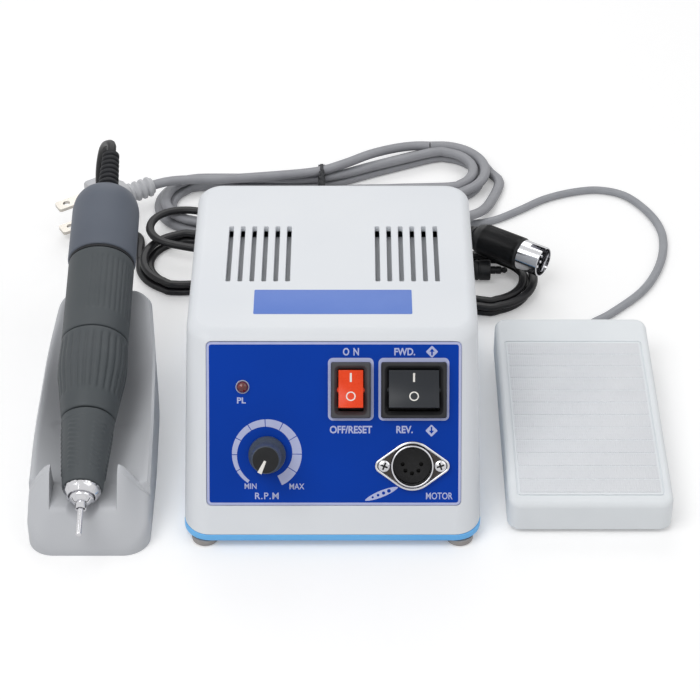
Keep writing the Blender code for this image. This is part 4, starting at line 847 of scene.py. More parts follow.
unit = {
    "width": 112.3, "depth": 143, "height": 64.2,
    "draft": 1.15,          # each side leans in by this much at the top
    "corner": 10, "crown": 4, "wall": 2.5,
    "panelRight": 0.6, "panelUp": 42.3,     # middle of the label, from the foot of the leaning face
    "vents": 6, "ventWidth": 1.8, "ventLength": 37, "ventPitch": 4.6, "ventOffset": 28.9, "ventSetback": 92.8,
    "screenDrop": 4.2,      # grey screen under the slots
    "stripHeight": 3, "stripEdge": 0.8, "lip": 3, "lipWall": 2,
    "post": 2.8,            # radius of the posts under the circuit board
}
sticker = {"size": (60.1, 15.3), "right": 0.15, "back": 60.9, "thickness": 0.12}
faceLean = atan2(faceOut.z, -faceOut.y)
shellFoot = Vector((unitX, shellHigh.y - unit["depth"], shellLow.z - gap))
unitPlace = Matrix.Translation(shellFoot)
facePlace = frameOf(faceRight, faceUp, faceOut,
                    shellFoot + faceRight * unit["panelRight"] + faceUp * unit["panelUp"])


def wedge(inset, low):
    # the unit's block: a leaning front, and sides that lean in a little
    top = unit["height"] - inset
    bm = block((-1, 0, 0), (1, 1, 1))
    for vert in bm.verts:
        level = top if vert.co.z > 0.5 else low
        half = unit["width"] / 2 - unit["draft"] * level / unit["height"] - inset
        back = unit["depth"] - inset if vert.co.y > 0.5 else level * tan(faceLean) + inset / cos(faceLean)
        vert.co = (half * vert.co.x, back, level)
    soften(bm, [e for e in bm.edges if abs(e.verts[0].co.z - e.verts[1].co.z) > 1], unit["corner"] - inset,
           10)
    return softenRim(bm, top, max(1, unit["crown"] - inset), 6)


def rearSpot(node):
    low, high = cornersOf(node)
    return Vector(((low.x + high.x) / 2, shellHigh.y, (low.z + high.z) / 2))


def rearPlace(node):
    # the frame of a fitting of the rear wall, Z out of the wall
    return frameOf(Vector((-1, 0, 0)), Vector((0, 0, 1)), Vector((0, 1, 0)), rearSpot(node))


def makeShell():
    wall = unit["wall"]
    outer = wedge(0, gap)
    inner = wedge(wall, -5)
    slots = []
    screens = []
    for side in (-1, 1):
        middle = side * unit["ventOffset"]
        for k in range(unit["vents"]):
            x = middle + (k - (unit["vents"] - 1) / 2) * unit["ventPitch"]
            slot = grown(unit["ventWidth"], unit["ventLength"], 0.5,
                         ((-6, 0), (-0.25, 0), (-0.08, 0.08), (0.02, 0.25),
                                                                   (1, 0.4)), 3)
            slots.append(moved(slot, x, unit["ventSetback"], unit["height"]))
        across = unit["vents"] * unit["ventPitch"] + 3
        drop = unit["screenDrop"]
        screens.append(moved(plate(across, unit["ventLength"] - 1, 1, -drop - 0.8, -drop, 0.2), middle,
                             unit["ventSetback"] - 1, unit["height"]))
        for edge in (-1, 1):
            rail = block((-0.6, -unit["ventLength"] / 2, -drop - 0.4),
                         (0.6, unit["ventLength"] / 2, -wall + 0.1))
            screens.append(moved(rail, middle + edge * (across / 2 - 0.7), unit["ventSetback"] - 1,
                                 unit["height"]))
    pocket = grown(panel["width"] + 0.3, panel["height"] + 0.3, panel["corner"],
                   ((panel["top"] - panel["thickness"], 0), (-0.42, 0), (-0.2, 0.08), (-0.07, 0.26),
                    (0, 0.55),
                    (0.6, 2)), 10)
    window = plate(panel["width"] - 6, panel["height"] - 6, 3, -12, 2)
    holes = [moved(disc(radius, -8, 6), place=rearPlace(node))
             for node, radius in (("mains_gland", 5.0), ("fuse_holder", 5.9), ("pedal_jack", 4.2))]
    for bm in (outer, inner, *slots, *screens):
        bm.transform(unitPlace)
    for bm in (pocket, window):
        bm.transform(facePlace)
    shell = carved(outer, inner, merged(*slots), pocket, window, merged(*holes))
    finishPiece("unitShell", shell, "white_plastic", "console", None, ("console_shell",), even=True)
    finishPiece("ventScreens", merged(*screens), "screen", "console", None, slot="white_plastic")
    bm = plate(*sticker["size"], 0.5, 0, sticker["thickness"], 0.04)
    middle = Vector((sticker["right"], sticker["back"], unit["height"]))
    finishPiece("topSticker", moved(bm, *middle, place=unitPlace), "sticker", "console", None,
                slot="blue_panel")


def baseOutline(inset, lean=0.0):
    # the unit's outline on the table; lean draws the front back
    width, depth = unit["width"] - 2 * inset, unit["depth"] - 2 * inset
    points = roundedOutline(width, depth, max(1, unit["corner"] - inset), 8)
    middle = unit["depth"] / 2
    return [(x, y + middle + (lean if y < 0 else 0)) for x, y in points]


def makeBase():
    edge, high = unit["stripEdge"], unit["stripHeight"]
    layers = [(edge * (1 - sin(radians(a))), edge * (1 - cos(radians(a))) - high, 0) for a in (0, 22, 45,
                                                                                               68, 90)]
    layers += [(0, -0.25, 0), (0.25, 0, 0)]
    inside = unit["wall"] + gap
    lean = inside * (1 / cos(faceLean) - 1)
    lip, within = unit["lip"], inside + unit["lipWall"]
    leanUp = lean + lip * tan(faceLean)
    layers += [(inside, 0, lean), (inside, lip, leanUp), (within, lip, leanUp), (within, 0, lean)]
    strip = stacked([[(x, y, level) for x, y in baseOutline(inset, back)] for inset, level, back in layers])
    boardLow, boardHigh = cornersOf("circuit_board")
    posts = []
    post = unit["post"]
    for x in (boardLow.x + post, boardHigh.x - post):
        for y in (boardLow.y + post, boardHigh.y - post):
            posts.append(moved(disc(post, -1, 8, 0.3), x - shellFoot.x, y - shellFoot.y, 0))
    strip = carved(strip, *posts, operation="UNION")
    stems = []
    for k in range(1, 5):
        low, high = cornersOf(f"foot_{k}")
        middle = (low + high) / 2 - shellFoot
        stems.append(moved(disc(2 + gap, -4, high.z - shellFoot.z + gap), middle.x, middle.y))
    strip = carved(strip, *stems)
    finishPiece("unitBase", strip, "blue_plastic", "console", unitPlace, ("console_base",), even=True)
    for k in range(1, 5):
        low, high = cornersOf(f"foot_{k}")
        top = 3 - gap
        profile = [(0, 0), (4.3, 0), *arc(4.4, 0.8, 0.8, -90, 0), (5.2, top), (2, top), (2, high.z),
                   (0, high.z)]
        place = Matrix.Translation(((low.x + high.x) / 2, (low.y + high.y) / 2, 0))
        finishPiece(f"unitFoot{k}", lathe(profile, 48), "grey_rubber", "console", place, (f"foot_{k}",))


# Label and what is printed on it

panel = {
    "width": 95.4, "height": 61.6, "corner": 1.8,
    "top": -0.15,           # the label lies a little below the face
    "thickness": 0.6,
    "line": 0.9,            # the pale line along its edge
    "ink": 0.05,
    "weight": 0.28,         # extra weight of the letters, of a size of 10
    "narrowWeight": 0.13,   # of words with an M in them, which would fill up
    # word, right, up, width, height of its capitals, spacing
    "words": (("ON", 6.4, 27.1, 6.0, 2.9, 1.9), ("FWD.", 26.5, 27.1, 7.8, 2.8, 1.0),
              ("OFF/RESET", 6.4, -2.2, 15.9, 2.9, 1.0), ("REV.", 26.5, -2.2, 6.2, 2.8, 1.0),
              ("PL", -34.6, 8.8, 3.3, 2.3, 1.0), ("MIN", -31.3, -23.6, 4.5, 2.1, 1.0),
              ("MAX", -13.9, -23.7, 5.6, 2.2, 1.0), ("R.P.M", -25.2, -27.3, 8.9, 2.5, 1.15),
              ("MOTOR", 39.6, -27.3, 10.0, 2.6, 1.0)),
}

dial = {
    "right": -25.15, "up": -11.4, "radius": 13.1,
    "start": 237.6, "firstStep": 27.85, "growth": 0.54,     # degrees; each step is wider than the last
    "steps": 10, "division": 0.32,
    "thin": 1.2, "thick": 3.95,
}


def inkPlate(bm):
    low, _ = limitsOf([vert.co for vert in bm.verts])
    return moved(bm, z=panel["top"] - 0.02 - low.z)


def word(text, width, cap, spread):
    bm = lettering(text, 10, 1, panel["narrowWeight" if "M" in text else "weight"], spread)
    low, high = limitsOf([vert.co for vert in bm.verts])
    bmesh.ops.translate(bm, vec=-(low + high) / 2, verts=bm.verts)
    size = (width / (high.x - low.x), cap / (high.y - low.y), panel["ink"] / (high.z - low.z))
    bmesh.ops.scale(bm, vec=size, verts=bm.verts)
    return bm


def dialBand(share):
    return dial["thin"] + (dial["thick"] - dial["thin"]) * (1.3 * share - 0.3 * share ** 2)


def dialTurn(k):
    # degrees swept from the start to the kth division
    return dial["firstStep"] * k + dial["growth"] * k * (k - 1) / 2


def dialStep(k):
    # one step of the scale: a line from its inner to its outer edge, swept round
    sweepAngle = radians(dialTurn(k + 1) - dialTurn(k))
    trim = dial["division"] / dial["radius"]
    outer = dial["radius"]
    bm = bmesh.new()
    ends = [bm.verts.new((radius, 0, 0)) for radius in (outer - 1, outer)]
    line = bm.edges.new(ends)
    bmesh.ops.spin(bm, geom=ends + [line], cent=(0, 0, 0), axis=(0, 0, -1), angle=sweepAngle - trim, steps=8)
    for vert in bm.verts:
        if vert.co.length < outer - 0.5:
            share = (k + (-atan2(vert.co.y, vert.co.x) + trim / 2) / sweepAngle) / dial["steps"]
            vert.co = vert.co.normalized() * (outer - dialBand(share))
    raiseFaces(bm, panel["ink"])
    turn(bm, radians(dial["start"] - dialTurn(k)) - trim / 2, "Z")
    return moved(bm, dial["right"], dial["up"])


def directionMark(down):
    # a lozenge with an arrow left clear in it
    lozenge = turn(plate(3.3, 3.3, 0.35, 0, panel["ink"]), pi / 4, "Z")
    arrow = [(-0.3, -1.4), (0.3, -1.4), (0.3, 0), (1.0, 0), (0, 1.2), (-1.0, 0), (-0.3, 0)]
    if down:
        arrow = [(-x, -y) for x, y in arrow]
    return carved(lozenge, prism(arrow, -1, 1))


def handpieceMark():
    # a slim leaf with four dots left clear in it
    half, thick = 6.7, 1.25
    turns = [2 * pi * k / 40 for k in range(40)]
    outline = [(half * cos(a), thick * sin(a) * abs(sin(a)) ** 0.35) for a in turns]
    dots = [moved(disc(0.42 + 0.1 * k, -1, 1, steps=16), -3.6 + 2.2 * k, 0) for k in range(4)]
    bm = carved(prism(outline, 0, panel["ink"]), *dots)
    return turn(bm, radians(22), "Z")


def makeLabel():
    top = panel["top"]
    label = plate(panel["width"], panel["height"], panel["corner"], top - panel["thickness"], top, 0.05)
    holes = []
    prints = [frameLine(panel["width"] - 0.1, panel["height"] - 0.1, panel["corner"], panel["line"], 0,
                        panel["ink"])]
    for node, width, height in (("power_switch_housing", 17.1, 23.6),
                                ("direction_switch_housing", 26.5, 23.6)):
        low, high = spotsOf(node, facePlace)
        middle = (low + high) / 2
        holes.append(moved(plate(high.x - low.x - 2, high.y - low.y - 2, 0.6, -8, 4), middle.x, middle.y))
        prints.append(moved(frameLine(width, height, 1.9, 2.2, 0, panel["ink"]), middle.x, middle.y + 0.2))
    for node, radius in (("lamp_lens", 2.6), ("speed_knob", 4.6), ("motor_socket", 8.2)):
        low, high = spotsOf(node, facePlace)
        middle = (low + high) / 2
        holes.append(moved(disc(radius, -8, 4), middle.x, middle.y))
    finishPiece("label", carved(label, merged(*holes)), "blue_panel", "console", facePlace,
                ("front_panel",), even=True)
    for text, right, up, width, cap, spread in panel["words"]:
        prints.append(moved(word(text, width, cap, spread), right, up))
    prints += [dialStep(k) for k in range(dial["steps"])]
    prints += [moved(directionMark(False), 36.7, 27.1), moved(directionMark(True), 36.6, -2.6)]
    prints.append(moved(handpieceMark(), 17.9, -26.5))
    printed = merged(*[inkPlate(bm) for bm in prints])
    finishPiece("labelPrint", printed, "print", "console", facePlace, slot="white_plastic", merge=0.0001)


# Rocker switches, lamp, knob and motor socket

switch = {
    "wall": 2.6, "wellHalf": 8.05, "bezelHigh": 2.6, "depth": 12,
    "half": 7.2, "rise": 3.9, "dish": 1.3, "drop": 4.5, "heel": 0.89, "tilt": 12,
    "trunnion": 1.2,
}


def rockerTop(along):
    return switch["rise"] - switch["dish"] * (1 - (along / switch["half"]) ** 2)


def rockerShape(width):
    # drawn with X up the face, Y out and Z to the right
    half, drop = switch["half"], switch["drop"]
    heel = switch["heel"] * half
    points = [(half * (1 - k / 8), rockerTop(half * (1 - k / 8))) for k in range(17)]
    points += [(-heel, -drop / 2), (-half / 2, -drop), (half / 2, -drop), (heel, -drop / 2)]
    bm = prism(points, -width / 2, width / 2)
    ends = [e for e in bm.edges if all(abs(abs(v.co.x) - half) < 0.01 for v in e.verts)
            and abs(e.verts[0].co.z - e.verts[1].co.z) > 1]
    soften(bm, ends, 0.7, 4)
    soften(bm, [e for e in bm.edges if all(abs(abs(v.co.z) - width / 2) < 0.001 for v in e.verts)], 0.3, 3)
    pins = disc(switch["trunnion"], -width / 2 - switch["trunnion"], width / 2 + switch["trunnion"], 0.1, 24)
    return carved(bm, pins, operation="UNION")


def rockerMark(bm):
    # lays a flat mark on the dished top
    for along in (-4, -3, -2, 2.8, 3.6, 4.3, 5, 5.8):
        cut = bm.verts[:] + bm.edges[:] + bm.faces[:]
        bmesh.ops.bisect_plane(bm, geom=cut, plane_co=(along, 0, 0), plane_no=(1, 0, 0), dist=0.0001)
    for vert in bm.verts:
        x, y, z = vert.co
        vert.co = (x, rockerTop(x) + z, y)
    return bm


def seatOf(node):
    # a fitting's lowest and highest corners on the face, and the frame at its middle
    low, high = spotsOf(node, facePlace)
    middle = (low + high) / 2
    return low, high, facePlace @ Matrix.Translation((middle.x, middle.y, 0))


def makeSwitch(name, look, slot):
    housing = f"{name}_switch_housing"
    rocker = f"{name}_rocker"
    low, high, place = seatOf(housing)
    width, height = high.x - low.x, high.y - low.y
    wide = width - 2 * switch["wall"]
    bezelTop = switch["bezelHigh"]
    bezel = grown(width, height, 0.8, ((panel["top"], 0), (1.6, 0), (2.1, -0.1), (2.35, -0.3),
                                       (bezelTop, -0.6)), 4)
    body = plate(width - 2.6, height - 2.6, 0.6, -switch["depth"], 1)
    well = grown(wide, 2 * switch["wellHalf"], 0.6,
                 ((-switch["drop"] - 1.2, 0), (0.9, 0), (1.2, 0.3), (2.2, 0.95),
                                                    (bezelTop + 0.05, 1.35), (4, 1.5)), 4)
    bezel = carved(carved(bezel, body, operation="UNION"), well)
    finishPiece(f"{name}Bezel", bezel, f"{name}_bezel", "console", place, (housing,), slot="black_plastic",
                even=True)
    axes = frameOf(Vector((0, 1, 0)), Vector((0, 0, 1)), Vector((1, 0, 0)), Vector((0, 0, 0)))
    rest = place @ Matrix.Rotation(radians(-switch["tilt"]), 4, "X") @ axes
    finishPiece(f"{name}Rocker", rockerShape(wide - 2 * gap), look, rocker, rest, (rocker,), slot=slot,
                crease=50)
    line = rockerMark(moved(plate(3.3, 0.75, 0.1, -0.03, 0.05, steps=2), 4.3, 0))
    ring = rockerMark(moved(lathe([(1.35, -0.03), (1.8, -0.03), (1.8, 0.05), (1.35, 0.05)], 40, ring=True),
                            -2.7, 0))
    finishPiece(f"{name}RockerMarks", merged(line, ring), "mark", rocker, rest, slot="white_plastic",
                merge=0.0001)


def makeLamp():
    low, _, place = seatOf("lamp_lens")
    top = panel["top"]
    dome = [(2.2 * cos(radians(a)), top + 0.35 + 1.9 * sin(radians(a))) for a in range(0, 91, 9)]
    finishPiece("lampLens", lathe([(0, low.z), (2.2, low.z)] + dome, 64), "red_lens", "console", place,
                ("lamp_lens",))
    # painted reflection: the collar's pale grey stands in for the bright edge of a chrome ring
    collar = lathe([(2.22, top - 0.5), (2.58, top - 0.5), (2.58, top + 0.15),
                    *arc(2.42, top + 0.2, 0.16, 0, 120, 4),
                    (2.22, top + 0.3)], 64, ring=True)
    finishPiece("lampCollar", collar, "collar", "console", place, slot="chrome")


knob = {
    "skirt": 7.05, "body": 5.35, "face": 5.0, "shaft": 3.3,
    "pointerRoot": 0.9, "pointerTip": 1.7, "pointerTurn": 245,
}


def makeKnob():
    low, high, place = seatOf("speed_knob")
    foot, top = low.z, high.z
    skirt, body, cap, shaft = knob["skirt"], knob["body"], knob["face"], knob["shaft"]
    profile = [(shaft, foot), (skirt - 0.3, foot), *arc(skirt - 0.25, foot + 0.25, 0.25, -60, 0, 3)]
    profile += [(skirt - 0.1, foot + 2.2), (skirt - 0.35, foot + 2.9), (body + 0.5, foot + 3.9),
                (body + 0.1, foot + 4.8), (body, foot + 6), (body - 0.15, top - 0.7),
                *arc(body - 0.55, top - 0.4, 0.4, 0, 90, 4), (cap, top - 0.05), (cap - 0.1, top - 0.25),
                (0, top - 0.25), (0, foot + 4), (shaft, foot + 4)]
    finishPiece("speedKnob", lathe(profile, 96, ring=True), "knob_skirt", "speed_knob", place,
                ("speed_knob",),
                slot="black_plastic")
    finishPiece("speedKnobFace", disc(cap - 0.1, top - 0.4, top - 0.12, 0.05, 96), "knob_face",
                "speed_knob", place,
                slot="black_plastic")
    length, root, tip = body + 0.1, knob["pointerRoot"] / 2, knob["pointerTip"] / 2
    pointer = prism([(0.4, -root), (length, -tip), (length, tip), (0.4, root)], top - 0.3, top + 0.05)
    turn(softenRim(pointer, top + 0.05, 0.1, 2), radians(knob["pointerTurn"]), "Z")
    finishPiece("speedKnobPointer", pointer, "mark", "speed_knob", place, slot="white_plastic")


socket = {
    "flangeRadius": 9.4, "flangeReach": 14.1, "endRadius": 2.9, "rim": 1.0,
    "outer": 7.95, "bore": 7.35, "screwRadius": 2.25, "screwOffset": 10.55, "pinCircle": 3.5, "pinHole": 0.8,
}


def flangeOutline(inset):
    big, small = socket["flangeRadius"] - inset, socket["endRadius"] - inset
    offset = socket["flangeReach"] - socket["endRadius"]
    lean = degrees(acos((big - small) / offset))
    return (arc(offset, 0, small, -lean, lean, 10) + arc(0, 0, big, lean, 180 - lean, 20)
            + arc(-offset, 0, small, 180 - lean, 180 + lean, 10) + arc(0, 0, big, 180 + lean, 360 - lean, 20))


def makeSocket():
    low, high, place = seatOf("motor_socket")
    base, top = panel["top"], high.z
    rim = socket["rim"]
    rows = [(0, base), (0, 0.9), (0.06, 1.25), (0.2, 1.48), (0.42, 1.6), (rim - 0.35, 1.6), (rim - 0.15, 1.5),
            (rim, 1.25), (rim + 0.05, 0.75)]
    flange = stacked([[(x, y, level) for x, y in flangeOutline(inset)] for inset, level in rows])
    outer, bore = socket["outer"], socket["bore"]
    opening = outer + 0.2
    flange = carved(flange, disc(opening, -5, 5, steps=96))
    profile = [(bore, low.z), (outer, low.z), *arc(outer - 0.3, top - 0.3, 0.3, 0, 90)]
    ring = lathe(profile + arc(bore + 0.25, top - 0.25, 0.25, 90, 180), 96, ring=True)
    finishPiece("socketFlange", flange, "chrome", "console", place, ("motor_socket",), even=True)
    # painted reflection: a dark plate inside the flange's rim stands in for what the chrome recess mirrors
    floor = prism(flangeOutline(rim + 0.08), 0.7, 0.82)
    floor = carved(floor, disc(opening, -5, 5, steps=96))
    finishPiece("socketFloor", floor, "dark_metal", "console", place, slot="chrome", even=True)
    finishPiece("socketRing", ring, "chrome", "console", place)
    insertLow, insertHigh = spotsOf("socket_insert", facePlace)
    insert = disc(bore - 0.05, insertLow.z, insertHigh.z, 0.3, 64)
    holes = []
    for k in range(5):
        spot = radians(-180 + 45 * k)
        holes.append(moved(disc(socket["pinHole"], insertHigh.z - 3, insertHigh.z + 1, steps=20),
                           socket["pinCircle"] * cos(spot), socket["pinCircle"] * sin(spot)))
    holes.append(block((-1.1, bore - 1.4, insertHigh.z - 2), (1.1, bore + 1, insertHigh.z + 1)))
    finishPiece("socketInsert", carved(insert, merged(*holes)), "socket_black", "console", place,
                ("socket_insert",),
                slot="black_plastic", even=True)
    radius = socket["screwRadius"]
    for k, side in enumerate((-1, 1), 1):
        head = lathe([(0, 0.4), (radius, 0.4), (radius, 1.2), *arc(radius - 0.5, 1.25, 0.5, 0, 60, 4),
                      (1.1, 1.95),
                      (0.5, 2.05), (0, 2.07)], 48)
        arms = [((-0.34, -1.45), (0.34, 1.45)), ((-1.45, -0.34), (1.45, 0.34))]
        cross = [block((*low, 1.2), (*high, 3)) for low, high in arms]
        # painted shadow: black crosses sunk at the bottom of each screw head's cross recess
        shadow = [block((*low, 1.05), (*high, 1.32)) for low, high in arms]
        bm = turn(carved(head, *cross), radians(28 + 40 * k), "Z")
        finishPiece(f"socketScrew{k}", moved(bm, side * socket["screwOffset"], 0), "chrome", "console", place,
                    even=True)
        bm = turn(carved(shadow[0], shadow[1], operation="UNION"), radians(28 + 40 * k), "Z")
        finishPiece(f"socketScrewShadow{k}", moved(bm, side * socket["screwOffset"], 0), "socket_black",
                    "console",
                    place, slot="black_plastic")


# Handpiece, drawn along its axis from the front of the nose sleeve

grip = {
    "sleeveFront": 7.8, "sleeveRear": 10.35, "sleeveEnd": 31.5,
    "chuckMiddle": 53, "chuckRadius": 13.6, "chuckEnd": 68.2, "chuckRear": 13.1, "flutes": 26,
    "fluteDepth": 0.5,
    "housingEnd": 108.6, "housingRadius": 13.2, "ribs": 36, "ribDepth": 0.24, "ribStart": 76, "ribEnd": 104,
    "plainAt": 228, "plainHalf": 27,     # a bare field among the ribs, degrees round
    "columns": 6, "columnAt": -54, "wavePitch": 2.0, "waveDepth": 0.32,
    "rearRadius": 13.7, "rearEnd": 143.5, "dome": 9.5, "domeRadius": 8.7,
    "spigot": 8.9, "spigotEnd": 71,
    "bootEnd": 167, "bootRoot": 4.5, "bootTip": 3.5, "bootRibs": 9,
    "ringFace": 5.45, "ringRadius": 7.05, "ringLength": 3.4, "ringFlat": 6.8,
}


def reshape(bm, rule):
    # a new radius for each point, by its radius, angle and height
    for vert in bm.verts:
        radius = hypot(vert.co.x, vert.co.y)
        if radius > 0.01:
            vert.co.xy *= rule(radius, atan2(vert.co.y, vert.co.x), vert.co.z) / radius
    return bm


def spaced(start, end, step):
    # places from start to end, about a step apart
    count = max(1, round((end - start) / step))
    return [start + (end - start) * k / count for k in range(count + 1)]


def rows(start, end, step, radius):
    # profile points close enough together to carry a fine pattern
    return [(radius(station), station) for station in spaced(start, end, step)]


def fade(value, start, end, soft):
    # 1 between start and end, falling away over soft
    return ease((value - start) / soft) * ease((end - value) / soft)


def sleeveRadius(station):
    return grip["sleeveFront"] + (grip["sleeveRear"] - grip["sleeveFront"]) * station / grip["sleeveEnd"]


def chuckRadius(station):
    middle = grip["chuckMiddle"]
    if station < middle:
        share = (station - grip["sleeveEnd"]) / (middle - grip["sleeveEnd"])
        radius = grip["sleeveRear"] + (grip["chuckRadius"] - grip["sleeveRear"]) * share
    else:
        share = (station - middle) / (grip["chuckEnd"] - middle)
        radius = grip["chuckRadius"] + (grip["chuckRear"] - grip["chuckRadius"]) * share
    return radius - 0.22 * max(0, 1 - abs(station - middle) / 3)


def makeNose():
    length, radius, face = grip["ringLength"], grip["ringRadius"], grip["ringFace"]
    profile = [(4.9, -length + 0.3), (5.15, -length), (face, -length), (face + 0.25, -length + 0.12),
               (radius - 0.35, -length * 0.5), (radius, -length * 0.35), (radius, -0.15),
               (radius - 0.15, 0.05),
               (6.2, 0.05), (6.2, 5), (4.9, 5)]
    ring = lathe(profile, 128, ring=True)

    def facets(spot, angle, height):
        # eight flats for a spanner round the rim
        if spot < 6.3 or height > 0:
            return spot
        return min(spot, grip["ringFlat"] / cos((angle % (pi / 4)) - pi / 8))
    finishPiece("noseRing", reshape(ring, facets), "chrome", "handpiece", gripPlace, ("nose_ring",),
                crease=25)

    end = grip["sleeveEnd"] - 2 * gap
    outer = [(sleeveRadius(0) - 0.55, gap), *arc(sleeveRadius(0) - 0.5, gap + 0.5, 0.5, -60, 0, 3)]
    outer += rows(1.1, end - 0.6, 0.22, sleeveRadius)
    outer += [(sleeveRadius(end) - 0.08, end - 0.3), (sleeveRadius(end) - 0.35, end)]
    profile = [(6.5, gap)] + outer
    profile += [(grip["spigot"], end), (grip["spigot"], grip["spigotEnd"]), (7.6, grip["spigotEnd"]),
                (7.6, 21.7),
                (5.6, 21.7), (5.6, 5.3), (6.5, 5.3)]

    def waves(radius, angle, height):
        # short wavy ribs in columns round the sleeve
        if radius < 7.3 or height > 28:
            return radius
        ahead = grip["columns"] * (angle - radians(grip["columnAt"]))
        column = 0.5 + 0.5 * cos(ahead)
        reach = ease((column - 0.3) / 0.4) * fade(height, 3.5, 27, 2)
        bend = 0.7 * column + 0.35 * sin(ahead)
        wave = 0.5 + 0.5 * sin(2 * pi * (height + bend) / grip["wavePitch"])
        return radius + grip["waveDepth"] * (reach * wave ** 1.5 - 0.3)
    finishPiece("noseSleeve", reshape(lathe(profile, 160, ring=True), waves), "grip_grey", "handpiece",
                gripPlace,
                ("nose_sleeve",), crease=40)


def makeChuckRing():
    start, end = grip["sleeveEnd"] + 0.05, grip["chuckEnd"] - 1.5 * gap
    outer = [(chuckRadius(start) - 0.4, start), (chuckRadius(start) - 0.08, start + 0.3)]
    outer += rows(start + 0.7, end - 0.7, 0.7, chuckRadius)
    outer += [(chuckRadius(end) - 0.08, end - 0.3), (chuckRadius(end) - 0.4, end)]
    profile = [(9.2, start)] + outer + [(9.2, end)]

    def flutes(radius, angle, height):
        if radius < 9.9:
            return radius
        reach = fade(height, 37 + 1.5 * cos(angle * grip["flutes"] / 2) ** 2, 66.8, 3)
        return radius - grip["fluteDepth"] * reach * (0.5 + 0.5 * cos(grip["flutes"] * angle)) ** 2
    ring = reshape(lathe(profile, 12 * grip["flutes"], ring=True), flutes)
    finishPiece("chuckRing", ring, "grip_grey", "chuck_ring", gripPlace, ("chuck_ring",), crease=50)


def makeHousing():
    start, end = grip["chuckEnd"] + 0.05, grip["housingEnd"] - gap

    def radiusAt(station):
        share = (station - start) / (end - start)
        return grip["chuckRear"] + (grip["housingRadius"] - grip["chuckRear"]) * share
    outer = [(radiusAt(start) - 0.4, start), (radiusAt(start) - 0.08, start + 0.3)]
    outer += rows(start + 0.7, end - 1.8, 0.6, radiusAt)
    outer += [(radiusAt(end) - 0.1, end - 1.4), (radiusAt(end) - 0.4, end - 1.1), (12.2, end - 1.05)]
    profile = [(9.2, start)] + outer
    profile += [(12.2, 122), (3.6, 122), (3.6, 117.3), (8.3, 117.3), (8.3, 110.7), (11.2, 110.7),
                (11.2, 71.3),
                (9.2, 71.3)]

    def ribs(radius, angle, height):
        # fine ribs all round, but for a bare field
        if radius < 12.5:
            return radius
        ahead = angle - radians(grip["plainAt"])
        plain = ease((abs(atan2(sin(ahead), cos(ahead))) - radians(grip["plainHalf"])) / radians(4))
        reach = plain * fade(height, grip["ribStart"], grip["ribEnd"], 1.6)
        return radius - grip["ribDepth"] * reach * (0.5 + 0.5 * cos(grip["ribs"] * angle)) ** 1.6
    finishPiece("motorHousing", reshape(lathe(profile, 10 * grip["ribs"], ring=True), ribs), "grip_grey",
                "handpiece",
                gripPlace, ("motor_housing",), crease=50)
    seal = lathe([(12.3, end - 0.9), (12.95, end - 0.9), (13.15, end - 0.7), (13.15, end + 0.15),
                  (12.3, end + 0.15)],
                 128, ring=True)
    finishPiece("housingSeal", seal, "black_rubber", "handpiece", gripPlace)


def makeRearSleeve():
    start, end = grip["housingEnd"], grip["rearEnd"]
    radius, dome = grip["rearRadius"], grip["domeRadius"]
    straight = end - grip["dome"]
    outer = [(radius - 0.5, start), (radius - 0.1, start + 0.35), (radius, start + 0.8), (radius, straight)]
    outer += [(dome + (radius - dome) * cos(radians(a)), straight + grip["dome"] * sin(radians(a)))
              for a in range(10, 91, 10)]
    profile = [(12.5, start)] + outer + [(4.8, end), (4.8, end - 3), (8, end - 3), (12.5, straight - 1.5)]
    finishPiece("rearSleeve", lathe(profile, 128, ring=True), "rear_grey", "handpiece", gripPlace,
                ("rear_sleeve",),
                slot="grip_grey")
    root, tip, count = grip["bootRoot"], grip["bootTip"], grip["bootRibs"]
    profile = [(0, end - 6), (6.5, end - 6), (6.5, end - 3.3), (root, end - 3.3), (root, end + 0.2)]
    pitch = (grip["bootEnd"] - end - 0.4) / count
    for k in range(count):
        base = end + 0.2 + pitch * k
        size = root + (tip - root) * (k + 0.5) / count
        profile += [(size * 0.8, base + 0.12 * pitch), (size * 0.8, base + 0.3 * pitch),
                    (size * 0.93, base + 0.38 * pitch), (size, base + 0.5 * pitch),
                    (size, base + 0.8 * pitch),
                    (size * 0.93, base + 0.92 * pitch)]
    profile += [(tip, grip["bootEnd"] - 0.2), (tip * 0.85, grip["bootEnd"]), (0, grip["bootEnd"])]
    finishPiece("cordBoot", lathe(profile, 56), "black_rubber", "handpiece", gripPlace, ("cord_boot",),
                crease=50)


def makeCollet():
    low, high = spotsOf("collet", gripPlace)
    bore = 1.475
    front = low.z
    profile = [(bore, front + 0.2), (bore + 0.2, front), (1.95, front), (2.2, front + 0.3), (2.2, -6.6),
               (2.0, -6.4),
               (2.0, -6.1), (2.9, -6.0), (3.2, -5.8), (3.9, -4.7), (4.5, -4.4), (4.6, -4.1), (4.6, -3.2),
               (4.45, -3.0), (4.6, -2.8), (4.6, 3.4), (3.4, 5.7), (3.4, 23.5), (bore, 23.5)]
    collet = lathe(profile, 96, ring=True)
    slits = []
    for k in range(3):
        slit = block((0, -0.16, front - 1), (5, 0.16, -4.6))
        slits.append(turn(slit, radians(90 + 120 * k), "Z"))
    finishPiece("collet", carved(collet, merged(*slits)), "chrome", "spindle", gripPlace, ("collet",),
                slot="steel",
                even=True)
    low, high = spotsOf("tool_pin", gripPlace)
    radius = high.x
    profile = [(0, low.z), *arc(radius * 0.55, low.z + radius * 0.45, radius * 0.45, -90, 0),
               (radius, high.z - 0.3), (radius - 0.3, high.z), (0, high.z)]
    finishPiece("toolPin", lathe(profile, 48), "chrome", "tool_pin", gripPlace, ("tool_pin",))


# Cradle

